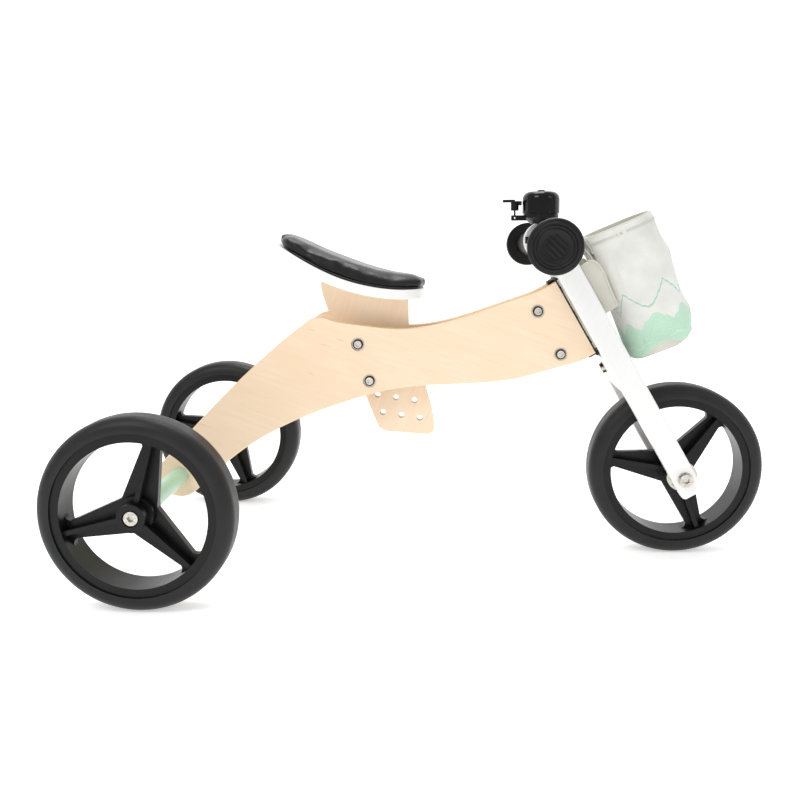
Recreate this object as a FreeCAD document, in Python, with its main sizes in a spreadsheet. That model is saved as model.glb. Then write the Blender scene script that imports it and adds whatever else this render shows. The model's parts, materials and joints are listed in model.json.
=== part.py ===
import FreeCAD, Part
import math
import os
import re
from FreeCAD import Placement, Rotation, Vector

# Children's tricycle: a bent plywood frame on two rear wheels, a steered fork with one front wheel,
# a padded saddle on a drilled post, a bell and a fabric bag.
#
# Model frame, in millimetres: +X forward, +Y left, +Z up, with the origin on the floor midway between
# the axles. Two working frames keep the sizes simple:
#   rear frame  origin on the rear axle, axes parallel to the model's
#   fork frame  origin on the front axle, z up along the steering axis, x forward, leaned back by rake

SIZES = [
    ("wheelbase", 577.2, "rear axle to front axle"),
    ("track", 397.0, "between the middles of the rear wheels"),
    ("rake", 30.0, "lean of the steering axis, degrees"),
    ("wheel_radius", 100.5, "tread"),
    ("tyre_width", 42.6, "across the tyre"),
    ("tread_round", 13.0, "rounding between tread and sidewall"),
    ("seat_radius", 84.5, "tyre's inside, rim's outside"),
    ("barrel_radius", 75.5, "rim's inside"),
    ("rim_width", 38.0, "across the rim"),
    ("hub_radius", 14.5, "outside of the hub's nose"),
    ("hub_half", 26.0, "middle of the wheel to the hub's end"),
    ("boss_radius_hub", 19.0, "thick middle of the hub"),
    ("boss_half_hub", 12.0, "half the length of the thick middle"),
    ("web_thick", 9.0, "spoke's flat web"),
    ("web_root", 37.8, "web's width at the hub"),
    ("web_tip", 15.8, "web's width at the rim"),
    ("web_fillet", 7.0, "fillet between web and rim"),
    ("rib_wide", 5.0, "spoke's rib"),
    ("rib_root_half", 18.5, "rib's half height at the hub"),
    ("rib_tip_half", 15.0, "rib's half height at the rim"),
    ("bush_radius", 7.0, "bush's outside, hub's bore"),
    ("bush_length", 12.0, "each bush"),
    ("sink_radius", 8.6, "recess in the hub's ends"),
    ("sink_depth", 5.5, "recess in the hub's ends"),
    ("axle_radius", 4.0, "both axles"),
    ("run_fit", 0.05, "radial clearance of what turns on a pin"),
    ("plate_thick", 10.0, "side plates"),
    ("nose_half", 21.0, "outside of the plates at the nose"),
    ("tail_half", 53.0, "outside of the plates at the rear axle"),
    ("tail_round", 25.5, "plate's rear end about the axle"),
    ("nose_back", 15.0, "steering axis to the nose"),
    ("nose_low", 168.0, "nose's lower end, up the fork frame"),
    ("nose_high", 262.0, "nose's upper end, up the fork frame"),
    ("nose_flat", 12.0, "square stretch behind the nose"),
    ("edge_round", 1.5, "rounded edges of the plywood"),
    ("block_long", 45.0, "head block, along the frame"),
    ("bolt_radius", 3.0, "frame bolts' shanks"),
    ("bolt_fit", 0.3, "radial clearance of the frame bolts"),
    ("head_radius", 5.9, "frame bolts' heads"),
    ("head_high", 2.8, "frame bolts' heads"),
    ("socket_radius", 2.6, "hex sockets, to the corners"),
    ("washer_radius", 6.9, "frame washers"),
    ("washer_thick", 1.0, "frame washers"),
    ("spot_radius", 7.5, "flats cut for the frame washers"),
    ("spot_depth", 1.9, "flats cut on the sloping stretch"),
    ("head_bolt_in", 19.0, "head bolts from the nose's ends"),
    ("head_bolt_low_back", 34.9, "lower head bolt behind the nose"),
    ("head_bolt_high_back", 33.4, "upper head bolt behind the nose"),
    ("post_thick", 12.0, "seat post plate"),
    ("post_hole", 3.5, "seat post holes"),
    ("hole_pitch", 22.1, "between rows and columns of post holes"),
    ("column_lean", 16.5, "columns of post holes from the vertical, degrees"),
    ("row_dip", 8.9, "rows of post holes below the horizontal, degrees"),
    ("spacer_radius", 8.0, "sleeves beside the seat post"),
    ("board_thick", 11.0, "seat board"),
    ("seat_half", 60.0, "half the seat's width"),
    ("seat_front", 62.0, "seat's front edge, ahead of the lower post bolt"),
    ("seat_rear", 170.0, "seat's rear edge, behind the lower post bolt"),
    ("pad_rear", 97.0, "pad's rear edge, behind the lower post bolt"),
    ("pad_inset", 2.5, "board's edge that the pad leaves free"),
    ("pad_front_high", 10.0, "pad's height at its front edge"),
    ("pad_rear_high", 15.0, "pad's height at its rear edge"),
    ("pad_middle", 23.0, "pad's height in the middle"),
    ("axle_tube_radius", 10.0, "sleeves on the rear axle"),
    ("axle_gap", 1.5, "room for a washer beside each hub"),
    ("cap_radius", 7.2, "axle bolts' heads"),
    ("cap_high", 4.8, "axle bolts' heads"),
    ("leg_wide", 26.0, "fork leg, front to back"),
    ("leg_inner", 47.0, "fork leg's inner face"),
    ("leg_thick", 15.0, "fork leg"),
    ("leg_foot", 21.0, "leg below the axle"),
    ("leg_round", 5.0, "rounded corners of the leg's foot"),
    ("soft_round", 2.0, "rounded edges of the fork"),
    ("bar_up", 306.0, "front axle to the handlebar"),
    ("boss_radius", 22.0, "leg's round top"),
    ("bar_radius", 11.0, "handlebar"),
    ("bar_wall", 1.5, "handlebar"),
    ("bar_straight", 68.0, "straight middle of the handlebar, to each side"),
    ("grip_end", 177.0, "middle of the tricycle to a grip's end"),
    ("grip_sweep", 5.25, "handlebar's ends swept back, degrees"),
    ("grip_long", 88.0, "each grip"),
    ("grip_radius", 15.0, "grip"),
    ("disc_radius", 27.6, "grip's end disc"),
    ("disc_thick", 9.0, "grip's end disc"),
    ("pin_radius", 5.0, "steering pin"),
    ("lug_radius", 11.0, "bracket's lugs"),
    ("lug_thick", 3.0, "bracket's lugs and flanges"),
    ("bracket_thick", 1.8, "bracket's plate"),
    ("flange_long", 8.0, "bracket's flanges, rearward"),
    ("bracket_screw", 24.0, "bracket's screws in the head block"),
    ("thrust_thick", 1.5, "nylon washers on the steering pin"),
    ("thrust_fit", 0.1, "end play of each nylon washer"),
    ("crown_gap", 20.5, "front tyre to the lower crown"),
    ("crown_thick_up", 19.0, "upper crown"),
    ("pin_head", 6.0, "steering pin's head and nut"),
    ("lock_up", 145.0, "lock screw on the lower crown"),
    ("leg_disc_radius", 17.0, "steel discs inside the legs"),
    ("leg_disc_thick", 2.0, "steel discs inside the legs"),
    ("front_sleeve_radius", 9.0, "sleeves on the front axle"),
    ("bell_side", 32.0, "bell from the middle"),
    ("bell_back", 4.0, "bell behind the handlebar's middle"),
    ("bell_foot", 19.8, "underside of the bell's base above the handlebar's axis"),
    ("bell_base_high", 11.6, "bell's base"),
    ("bell_radius", 21.6, "bell's dome"),
    ("bell_high", 25.0, "bell's dome"),
    ("bell_wall", 1.6, "bell's dome"),
    ("bell_round", 9.0, "bell's shoulder"),
    ("band_wide", 12.0, "bell's clamp band"),
    ("band_thick", 2.2, "bell's clamp band"),
    ("bag_out", 59.0, "bag's bottom ahead of the steering axis"),
    ("bag_up", 137.0, "bag's bottom up the fork frame"),
    ("bag_lean", 7.5, "bag forward of the fork, degrees"),
    ("bag_high", 146.0, "bag"),
    ("bag_foot_radius", 40.0, "bag's bottom"),
    ("bag_rim_radius", 42.0, "bag's rim"),
    ("bag_wall", 3.0, "bag's wall and floor"),
    ("strap_side", 16.0, "bag's straps from the middle"),
    ("strap_wide", 16.0, "bag's straps"),
    ("strap_thick", 2.0, "bag's straps"),
    ("strap_fit", 0.4, "bag's straps round the handlebar"),
]

# Plywood outline: each point as a share of the way from the rear axle to the nose, and the height in
# millimetres above the straight line between them.
TOP_REAR = [(0.0966, 65.8), (0.2047, 93.4), (0.2962, 111.8)]
PEAK = [(0.3338, 118.1), (0.3579, 118.5), (0.3843, 112.1)]
TOP_FRONT = [(0.466, 89.3), (0.5797, 64.3), (0.7042, 51.4), (0.8443, 47.6)]
BOTTOM = [(0.9802, -50.8), (0.8465, -43.2), (0.7044, -23.2), (0.5626, -1.6), (0.4054, 10.2),
          (0.2606, 9.9), (0.1337, -3.9)]
SPREAD = (0.132, 0.834)      # where the plates start and stop spreading
POST = (0.4853, 21.9)        # lower bolt of the seat post

# Underside of the seat board and foot of the post, from the lower post bolt.
BOARD_CURVE = [(-192.0, 203.0), (-157.0, 176.7), (-95.0, 138.8), (-51.0, 114.9), (-25.0, 104.6),
               (10.0, 96.2), (45.7, 92.6), (66.0, 93.6)]
POST_OUTLINE = [(-58.0, 150.0, 0.0), (-57.8, 102.0, 60.0), (-48.5, 74.0, 60.0), (-6.0, -26.0, 40.0),
                (9.0, -64.5, 14.0), (75.5, -69.5, 9.0), (70.0, -36.0, 50.0), (43.8, 58.0, 60.0),
                (42.6, 150.0, 0.0)]
# Half widths of the seat board and of its pad, as shares of the length behind the post bolt and of the
# seat's half width.
SEAT_SIDES = [(0.1, 0.97), (0.32, 0.96), (0.57, 0.78), (0.77, 0.46), (0.91, 0.28), (1.0, 0.0)]
PAD_SIDES = [(0.18, 0.97), (0.57, 0.94), (0.84, 0.84), (0.97, 0.56), (1.0, 0.0)]
POST_ROWS = range(-2, 3)     # rows of holes, down the post, from the lower bolt
POST_COLUMNS = range(0, 3)   # columns of holes, forward
SPOKE_ANGLES = {"rear_right": 75.0, "rear_left": 48.0, "front": 51.5}

FORK = "fork"
REAR = "rear"
SIDES = (("right", -1), ("left", 1))
AXES = {"x": Rotation(Vector(0, 1, 0), 90), "y": Rotation(Vector(1, 0, 0), -90), "z": Rotation()}

doc = FreeCAD.newDocument("tricycle")
sheet = doc.addObject("Spreadsheet::Sheet", "Sizes")
for row, (alias, value, meaning) in enumerate(SIZES, start=1):
    sheet.set(f"A{row}", alias)
    sheet.set(f"B{row}", str(value))
    sheet.setAlias(f"B{row}", alias)
    sheet.set(f"C{row}", meaning)
doc.recompute()
ALIASES = {alias for alias, value, meaning in SIZES}
NODES = []


# ---------------------------------------------------------------- working with the sheet and shapes

def size(alias):
    """One size of the sheet, as a number."""
    return float(sheet.get(alias))


def bind(item, prop, formula):
    """Drive a property by a formula whose words are the sheet's aliases."""
    text = re.sub(r"[a-z_]+", lambda m: "Sizes." + m[0] if m[0] in ALIASES else m[0], str(formula))
    item.setExpression(prop, text)


def put_at(item, x, y, z):
    """Drive an object's position."""
    for axis, formula in (("x", x), ("y", y), ("z", z)):
        bind(item, f"Placement.Base.{axis}", formula)


def block(x, y, z):
    """A box between two formulas on each axis."""
    item = doc.addObject("Part::Box", "block")
    for prop, (low, high) in (("Length", x), ("Width", y), ("Height", z)):
        bind(item, prop, f"({high}) - ({low})")
    put_at(item, x[0], y[0], z[0])
    return item


def turned(kind, span, axis, at, **radii):
    """A round primitive from span[0] to span[1] along an axis, with its middle at the other two."""
    item = doc.addObject("Part::" + kind, kind.lower())
    for prop, formula in radii.items():
        bind(item, prop, formula)
    bind(item, "Height", f"({span[1]}) - ({span[0]})")
    item.Placement = Placement(Vector(), AXES[axis])
    place = list(at)
    place.insert("xyz".index(axis), span[0])
    put_at(item, *place)
    return item


def rod(radius, span, axis="y", at=("0", "0")):
    return turned("Cylinder", span, axis, at, Radius=radius)


def cone(low_radius, high_radius, span, axis="z", at=("0", "0")):
    return turned("Cone", span, axis, at, Radius1=low_radius, Radius2=high_radius)


def torus(ring, thick, middle, axis="y", at=("0", "0")):
    item = doc.addObject("Part::Torus", "torus")
    bind(item, "Radius1", ring)
    bind(item, "Radius2", thick)
    item.Placement = Placement(Vector(), AXES[axis])
    place = list(at)
    place.insert("xyz".index(axis), middle)
    put_at(item, *place)
    return item


def hexagon(corner_radius, span, axis, at):
    item = turned("Prism", span, axis, at, Circumradius=corner_radius)
    item.Polygon = 6
    return item


def fuse(*items):
    item = doc.addObject("Part::MultiFuse", "fuse")
    item.Shapes = list(items)
    item.Refine = True
    return item


def cut(base, *tools):
    item = doc.addObject("Part::Cut", "cut")
    item.Base = base
    item.Tool = tools[0] if len(tools) == 1 else fuse(*tools)
    return item


def group(*items):
    """Separate identical pieces in one node."""
    item = doc.addObject("Part::Compound", "group")
    item.Links = list(items)
    return item


def tube(outer, inner, span, axis="y", at=("0", "0")):
    return cut(rod(outer, span, axis, at), rod(inner, span, axis, at))


def free_shape(shape):
    """A feature whose shape is worked out here from the sheet's sizes."""
    item = doc.addObject("Part::Feature", "shape")
    item.Shape = shape
    return item


def rounded(item, radius, chosen):
    """Round the edges of an object whose middle passes the test."""
    doc.recompute()
    middles = [edge.CenterOfMass for edge in item.Shape.Edges]
    picked = [i for i, middle in enumerate(middles, start=1) if chosen(middle)]
    result = doc.addObject("Part::Fillet", "rounded")
    result.Base = item
    result.Edges = [(i, radius, radius) for i in picked]
    return result


def side_span(sign, low, high):
    """A span from low to high on the left, and its mirror image on the right."""
    return (low, high) if sign > 0 else (f"-({high})", f"-({low})")


def node(label, item, frame=None):
    """Name a finished piece and place it."""
    item.Label = label
    if frame == REAR:
        put_at(item, "-wheelbase / 2", "0", "wheel_radius")
    if frame == FORK:
        item.Placement = Placement(Vector(), Rotation(Vector(0, -1, 0), size("rake")))
        bind(item, "Placement.Rotation.Angle", "rake")
        put_at(item, "wheelbase / 2", "0", "wheel_radius")
    NODES.append(item)
    return item


# ---------------------------------------------------------------- curves of the plywood

def nose_point(up, forward):
    """A point of the fork frame, seen in the rear frame."""
    lean = math.radians(size("rake"))
    x = size("wheelbase") - up * math.sin(lean) + forward * math.cos(lean)
    return Vector(x, 0, up * math.cos(lean) + forward * math.sin(lean))


def chord_point(share, rise):
    """A point above the line from the rear axle to the middle of the nose."""
    nose = nose_point((size("nose_low") + size("nose_high")) / 2, -size("nose_back"))
    return nose * share + Vector(0, 0, rise)


def spline(points, first=None, last=None):
    curve = Part.BSplineCurve()
    if first and last:
        curve.interpolate(Points=points, InitialTangent=first, FinalTangent=last)
    else:
        curve.interpolate(Points=points)
    return curve.toShape()


def line(a, b):
    return Part.LineSegment(a, b).toShape()


def closed_face(*edges):
    return Part.Face(Part.Wire(Part.__sortEdges__(list(edges))))


def corner_face(corners):
    """A face in the XZ plane from (x, z, corner radius) triples."""
    count = len(corners)
    starts = []
    edges = []
    for i, (x, z, radius) in enumerate(corners):
        here = Vector(x, 0, z)
        back = (Vector(corners[i - 1][0], 0, corners[i - 1][1]) - here).normalize()
        ahead = (Vector(corners[(i + 1) % count][0], 0, corners[(i + 1) % count][1]) - here).normalize()
        half = back.getAngle(ahead) / 2
        reach = radius / math.tan(half)
        enter = here + back * reach
        leave = here + ahead * reach
        if radius:
            inward = (back + ahead).normalize()
            top = here + inward * (radius / math.sin(half) - radius)
            edges.append(Part.Arc(enter, top, leave).toShape())
        starts.append((enter, leave))
    for i in range(count):
        a = starts[i][1]
        b = starts[(i + 1) % count][0]
        if a.distanceToPoint(b) > 1e-3:
            edges.append(line(a, b))
    return closed_face(*edges)


def plate_face():
    """Side view of the side plates, in the rear frame."""
    radius = size("tail_round")
    ring = [Vector(radius * math.cos(math.radians(a)), 0, radius * math.sin(math.radians(a)))
            for a in (-51, 223, 137)]
    up_slope = Vector(math.cos(math.radians(47)), 0, math.sin(math.radians(47)))
    down_slope = Vector(-math.cos(math.radians(39)), 0, -math.sin(math.radians(39)))
    peak = [chord_point(*p) for p in PEAK]
    hump = Part.Arc(*peak).toShape()
    into_hump = hump.tangentAt(hump.FirstParameter)
    out_of_hump = hump.tangentAt(hump.LastParameter)
    nose = size("nose_back")
    back = nose + size("nose_flat")
    top = nose_point(size("nose_high"), -back)
    low = nose_point(size("nose_low"), -back)
    top_corner = nose_point(size("nose_high"), -nose)
    low_corner = nose_point(size("nose_low"), -nose)
    forward = (top_corner - top).normalize()
    rear_top = [ring[2]] + [chord_point(*p) for p in TOP_REAR] + [peak[0]]
    front_top = [peak[2]] + [chord_point(*p) for p in TOP_FRONT] + [top]
    bottom = [low] + [chord_point(*p) for p in BOTTOM] + [ring[0]]
    return closed_face(
        Part.Arc(*ring).toShape(),
        spline(rear_top, up_slope * 60, into_hump * 60),
        hump,
        spline(front_top, out_of_hump * 60, forward * 60),
        line(top, top_corner), line(top_corner, low_corner), line(low_corner, low),
        spline(bottom, forward * -60, down_slope * 60),
    )


def spread_poles(side):
    """Control points of one plate's outer face where it spreads, seen from above."""
    nose = chord_point(1, 0).x
    first, last = (share * nose for share in SPREAD)
    middle = (first + last) / 2
    tail = size("tail_half") * side
    front = size("nose_half") * side
    return [Vector(first, tail), Vector(middle, tail), Vector(middle, front), Vector(last, front)]


def plate_outside(x):
    """Distance from the middle plane to the left plate's outer face."""
    first, middle, _, last = (pole.x for pole in spread_poles(1))
    low, high = 0.0, 1.0
    for _ in range(40):
        t = (low + high) / 2
        here = first * (1 - t) ** 3 + 3 * middle * t * (1 - t) + last * t ** 3
        low, high = (t, high) if here < x else (low, t)
    share = t * t * (3 - 2 * t)
    return size("tail_half") * (1 - share) + size("nose_half") * share


def plate_band(side):
    """Plan view of one plate, as a face in the XY plane."""
    poles = spread_poles(side)
    inward = Vector(0, -side * size("plate_thick"))
    behind = Vector(-2 * size("tail_round"), poles[0].y)
    ahead = Vector(size("wheelbase"), poles[3].y)
    edges = []
    for shift in (Vector(), inward):
        curve = Part.BezierCurve()
        curve.setPoles([pole + shift for pole in poles])
        edges += [line(behind + shift, poles[0] + shift), curve.toShape(),
                  line(poles[3] + shift, ahead + shift)]
    edges += [line(behind, behind + inward), line(ahead, ahead + inward)]
    return closed_face(*edges)


def post_point(row, column):
    """Middle of a seat post hole in the rear frame: rows run down, columns forward."""
    lean = math.radians(size("column_lean"))
    dip = math.radians(size("row_dip"))
    down = Vector(math.sin(lean), 0, -math.cos(lean)) * size("hole_pitch")
    ahead = Vector(math.cos(dip), 0, -math.sin(dip)) * size("hole_pitch")
    return chord_point(*POST) + down * row + ahead * column


def head_bolt_point(number):
    """Middle of the lower head bolt (0) or the upper one (1), in the rear frame."""
    if number:
        return nose_point(size("nose_high") - size("head_bolt_in"),
                          -size("nose_back") - size("head_bolt_high_back"))
    return nose_point(size("nose_low") + size("head_bolt_in"),
                      -size("nose_back") - size("head_bolt_low_back"))


def frame_bolt_places():
    """Middle of each cross bolt, and how far out its washers sit."""
    post = [post_point(-2, 0), post_point(0, 0)]
    head = [head_bolt_point(0), head_bolt_point(1)]
    places = [(point, plate_outside(point.x) - size("spot_depth")) for point in post]
    places += [(point, size("nose_half") - size("washer_thick")) for point in head]
    return places


# ---------------------------------------------------------------- frame

def side_plate(side):
    """Bent plywood plate: its side view and its plan view, intersected, with drilled and flatted holes."""
    wide = 2 * size("tail_half")
    profile = plate_face().extrude(Vector(0, 2 * wide, 0))
    profile.translate(Vector(0, -wide, 0))
    band = plate_band(side).extrude(Vector(0, 0, 2 * size("wheelbase")))
    band.translate(Vector(0, 0, -size("wheelbase")))
    plate = profile.common(band).Solids[0]
    long_edges = [edge for edge in plate.Edges if edge.Length > 1.2 * size("plate_thick")]
    nose = chord_point(1, 0).x - size("block_long")
    soft = [edge for edge in long_edges if edge.BoundBox.XMin < nose]
    plate = plate.makeFillet(size("edge_round"), soft)
    across = Vector(0, side, 0)
    hole = size("bolt_radius") + size("bolt_fit")
    cuts = []
    for point, outside in frame_bolt_places():
        cuts.append(Part.makeCylinder(hole, wide, point, across))
        cuts.append(Part.makeCylinder(size("spot_radius"), wide, point + across * outside, across))
    cuts.append(Part.makeCylinder(size("axle_radius") + size("run_fit"), wide, Vector(), across))
    return plate.cut(cuts).Solids[0]


def bracket_screw_heights():
    low, high = size("nose_low"), size("nose_high")
    return [low + 14, (low + high) / 2, high - 14]


def head_block():
    """Solid wood between the front ends of the plates."""
    half = size("nose_half") - size("plate_thick")
    low = size("nose_low") + size("edge_round")
    high = size("nose_high") - size("edge_round")
    back = size("nose_back") + size("block_long")
    corners = [nose_point(low, -size("nose_back")), nose_point(high, -size("nose_back")),
               nose_point(high - size("edge_round"), -back), nose_point(low + 6, -back)]
    face = Part.Face(Part.makePolygon(corners + corners[:1]))
    solid = face.extrude(Vector(0, 2 * half, 0))
    solid.translate(Vector(0, -half, 0))
    hole = size("bolt_radius") + size("bolt_fit")
    bores = [Part.makeCylinder(hole, 4 * half, head_bolt_point(i) - Vector(0, 2 * half, 0), Vector(0, 1, 0))
             for i in range(2)]
    rearward = nose_point(0, -1) - nose_point(0, 0)
    bores += [Part.makeCylinder(size("bolt_radius"), size("bracket_screw"),
                                nose_point(up, -size("nose_back")), rearward)
              for up in bracket_screw_heights()]
    return solid.cut(bores).Solids[0]


def ring(outer, inner, low, high, point):
    """A washer or sleeve along Y at a point of the XZ plane."""
    start = Vector(point.x, low, point.z)
    along = Vector(0, 1, 0)
    return Part.makeCylinder(outer, high - low, start, along).cut(
        Part.makeCylinder(inner, high - low, start, along))


def socket_head(point, seat, side):
    """Low domed head with a hex socket, seated at a distance from the middle plane."""
    along = Vector(0, side, 0)
    base = Vector(point.x, side * seat, point.z)
    high = size("head_high")
    rim = Part.makeCylinder(size("head_radius"), high * 0.4, base, along)
    dome = Part.makeCone(size("head_radius"), size("head_radius") * 0.72, high * 0.6,
                         base + along * (high * 0.4), along)
    corners = [Vector(size("socket_radius") * math.cos(a), 0, size("socket_radius") * math.sin(a))
               for a in (math.radians(60 * i) for i in range(7))]
    start = base + along * (high * 0.35)
    hexagonal = Part.Face(Part.makePolygon([corner + start for corner in corners]))
    return rim.fuse(dome).removeSplitter().cut(hexagonal.extrude(along * high))


def build_frame():
    plate_by_side = {side: free_shape(side_plate(sign)) for side, sign in SIDES}
    for side, plate in plate_by_side.items():
        node("side_plate_" + side, plate, REAR)
    node("head_block", free_shape(head_block()), REAR)

    spacers, bolts, nuts, washers = [], [], [], []
    shank = size("bolt_radius")
    for number, (point, outside) in enumerate(frame_bolt_places()):
        seat = outside + size("washer_thick")
        if number < 2:
            low = size("post_thick") / 2
            high = outside + size("spot_depth") - size("plate_thick") - size("spot_depth")
            for side, sign in SIDES:
                span = (low, high) if sign > 0 else (-high, -low)
                spacers.append(ring(size("spacer_radius"), shank + size("bolt_fit"), *span, point))
        end = seat + size("head_high") * 0.3
        body = Part.makeCylinder(shank, seat + end, Vector(point.x, -seat, point.z), Vector(0, 1, 0))
        bolts.append(socket_head(point, seat, -1).fuse(body).removeSplitter())
        cap = socket_head(point, seat, 1)
        nuts.append(cap.cut(Part.makeCylinder(shank + 0.02, seat + end, Vector(point.x, -seat, point.z),
                                              Vector(0, 1, 0))))
        for span in ((-seat, -outside), (outside, seat)):
            washers.append(ring(size("washer_radius"), shank + size("bolt_fit"), *span, point))
    node("post_spacers", free_shape(Part.makeCompound(spacers)), REAR)
    node("frame_bolts", free_shape(Part.makeCompound(bolts)), REAR)
    node("frame_nuts", free_shape(Part.makeCompound(nuts)), REAR)
    node("frame_washers", free_shape(Part.makeCompound(washers)), REAR)


# ---------------------------------------------------------------- seat

def board_curve(lift):
    """The seat's curve in the rear frame, raised square to itself by lift."""
    origin = chord_point(*POST)
    lower = spline([origin + Vector(x, 0, z) for x, z in BOARD_CURVE])
    count = 9
    span = lower.LastParameter - lower.FirstParameter
    points = []
    for i in range(count):
        at = lower.FirstParameter + span * i / (count - 1)
        slope = lower.tangentAt(at)
        points.append(lower.valueAt(at) + Vector(-slope.z, 0, slope.x) * lift)
    return spline(points)


def ends(edge):
    return edge.valueAt(edge.FirstParameter), edge.valueAt(edge.LastParameter)


def between_curves(lower, upper, half):
    """The solid between two curves of the XZ plane, to half on both sides."""
    a, b = ends(lower)
    c, d = ends(upper)
    solid = closed_face(lower, upper, line(a, c), line(b, d)).extrude(Vector(0, 2 * half, 0))
    solid.translate(Vector(0, -half, 0))
    return solid


def seat_plan(inset, rear, sides):
    """Plan view of the board or the pad, as a tall solid."""
    half = size("seat_half") - inset
    front = size("seat_front") - inset
    origin = chord_point(*POST)
    outline = [(front, 0), (front - 5, half * 0.42), (front - 24, half * 0.72)]
    outline += [(-rear * share, half * wide) for share, wide in sides]
    points = [Vector(origin.x + x, y) for x, y in outline]
    points += [Vector(origin.x + x, -y) for x, y in reversed(outline[1:-1])]
    curve = Part.BSplineCurve()
    curve.interpolate(Points=points, PeriodicFlag=True)
    solid = Part.Face(Part.Wire(curve.toShape())).extrude(Vector(0, 0, 3 * size("seat_rear")))
    return solid


def seat_board():
    half = size("seat_half") + 5
    sheet_of_ply = between_curves(board_curve(0), board_curve(size("board_thick")), half)
    board = sheet_of_ply.common(seat_plan(0, size("seat_rear"), SEAT_SIDES)).Solids[0]
    rims = [edge for edge in board.Edges if edge.Length > 3 * size("board_thick")]
    return board.makeFillet(size("edge_round"), rims)


def seat_post():
    """Flat plywood plate up to the underside of the board, with its grid of holes."""
    origin = chord_point(*POST)
    thick = size("post_thick")
    blank = corner_face(POST_OUTLINE).extrude(Vector(0, thick, 0))
    blank.translate(Vector(origin.x, -thick / 2, origin.z))
    above = between_curves(board_curve(0), board_curve(4 * size("board_thick")), thick)
    above = above.fuse(between_curves(board_curve(0), board_curve(9 * size("board_thick")), thick))
    plate = blank.cut(above)
    plate = sorted(plate.Solids, key=lambda solid: solid.CenterOfMass.z)[0]
    drills = [Part.makeCylinder(size("post_hole"), 4 * thick, post_point(i, j) - Vector(0, 2 * thick, 0),
                                Vector(0, 1, 0)) for i in POST_ROWS for j in POST_COLUMNS]
    return plate.cut(drills).Solids[0]


def seat_pad():
    """Plain cushion on the board: level across, thickest in the middle."""
    origin = chord_point(*POST)
    lower = board_curve(size("board_thick"))
    front = size("seat_front")
    rear = -size("pad_rear")
    tops = [(rear - 14, size("pad_rear_high") - 3), (rear, size("pad_rear_high")),
            ((front + rear) / 2, size("pad_middle")),
            (front, size("pad_front_high")), (front + 14, size("pad_front_high") - 3)]
    points = []
    for x, lift in tops:
        column = line(origin + Vector(x, 0, 0), origin + Vector(x, 0, 3 * size("seat_rear")))
        foot = column.distToShape(lower)[1][0][0]
        points.append(foot + Vector(0, 0, lift))
    upper = spline(points)
    slab = between_curves(lower, board_curve(5 * size("board_thick")), size("seat_half"))
    a, b = ends(upper)
    deep = Vector(0, 0, -2 * size("seat_rear"))
    under = closed_face(upper, line(a, a + deep), line(a + deep, b + deep), line(b + deep, b))
    under = under.extrude(Vector(0, 2 * size("seat_half"), 0))
    under.translate(Vector(0, -size("seat_half"), 0))
    pad = slab.common(under).common(seat_plan(size("pad_inset"), size("pad_rear"), PAD_SIDES))
    return pad.common(seat_plan(size("pad_inset"), size("seat_rear"), SEAT_SIDES)).Solids[0]


def seat_bolts(board_top):
    """Two screws down through the board into the top edge of the post."""
    origin = chord_point(*POST)
    screws = []
    for x in (-32.0, 22.0):
        column = line(origin + Vector(x, 0, 0), origin + Vector(x, 0, 3 * size("seat_rear")))
        top = column.distToShape(board_top)[1][0][0]
        slope = Vector(0, 0, -1)
        head = Part.makeCone(2.2, 4.6, 3.0, top - Vector(0, 0, 5.6), Vector(0, 0, 1))
        shank = Part.makeCylinder(2.2, 41.0, top - Vector(0, 0, 5.6), slope)
        screws.append(head.fuse(shank).removeSplitter())
    return screws


def build_seat():
    screws = seat_bolts(board_curve(size("board_thick")))
    node("seat_post", free_shape(seat_post().cut(screws).Solids[0]), REAR)
    node("seat_board", free_shape(seat_board().cut(screws).Solids[0]), REAR)
    node("seat_bolts", free_shape(Part.makeCompound(screws)), REAR)
    node("seat_pad", free_shape(seat_pad()), REAR)


# ---------------------------------------------------------------- wheels and rear axle

def wheel_place(item, name):
    if name == "front":
        put_at(item, "wheelbase / 2", "0", "wheel_radius")
    else:
        side = "track / 2" if name == "rear_left" else "-track / 2"
        put_at(item, "-wheelbase / 2", side, "wheel_radius")
    return item


def tyre():
    half = "tyre_width / 2"
    sidewall = rod("wheel_radius - tread_round", (f"-{half}", half))
    tread = rod("wheel_radius", (f"-({half} - tread_round)", f"{half} - tread_round"))
    shoulders = [torus("wheel_radius - tread_round", "tread_round", f"{sign}({half} - tread_round)")
                 for sign in ("-", "")]
    bore = rod("seat_radius", (f"-{half}", half))
    return cut(fuse(sidewall, tread, *shoulders), bore)


def wedge(half_widths, half_heights, span):
    """A tapered bar up the Z axis: wide along X, high along Y."""
    item = doc.addObject("Part::Wedge", "wedge")
    for prop, formula in (("Xmin", f"-({half_widths[0]})"), ("Xmax", half_widths[0]),
                          ("X2min", f"-({half_widths[1]})"), ("X2max", half_widths[1]),
                          ("Zmin", f"-({half_heights[0]})"), ("Zmax", half_heights[0]),
                          ("Z2min", f"-({half_heights[1]})"), ("Z2max", half_heights[1]),
                          ("Ymin", span[0]), ("Ymax", span[1])):
        bind(item, prop, formula)
    return item


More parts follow.
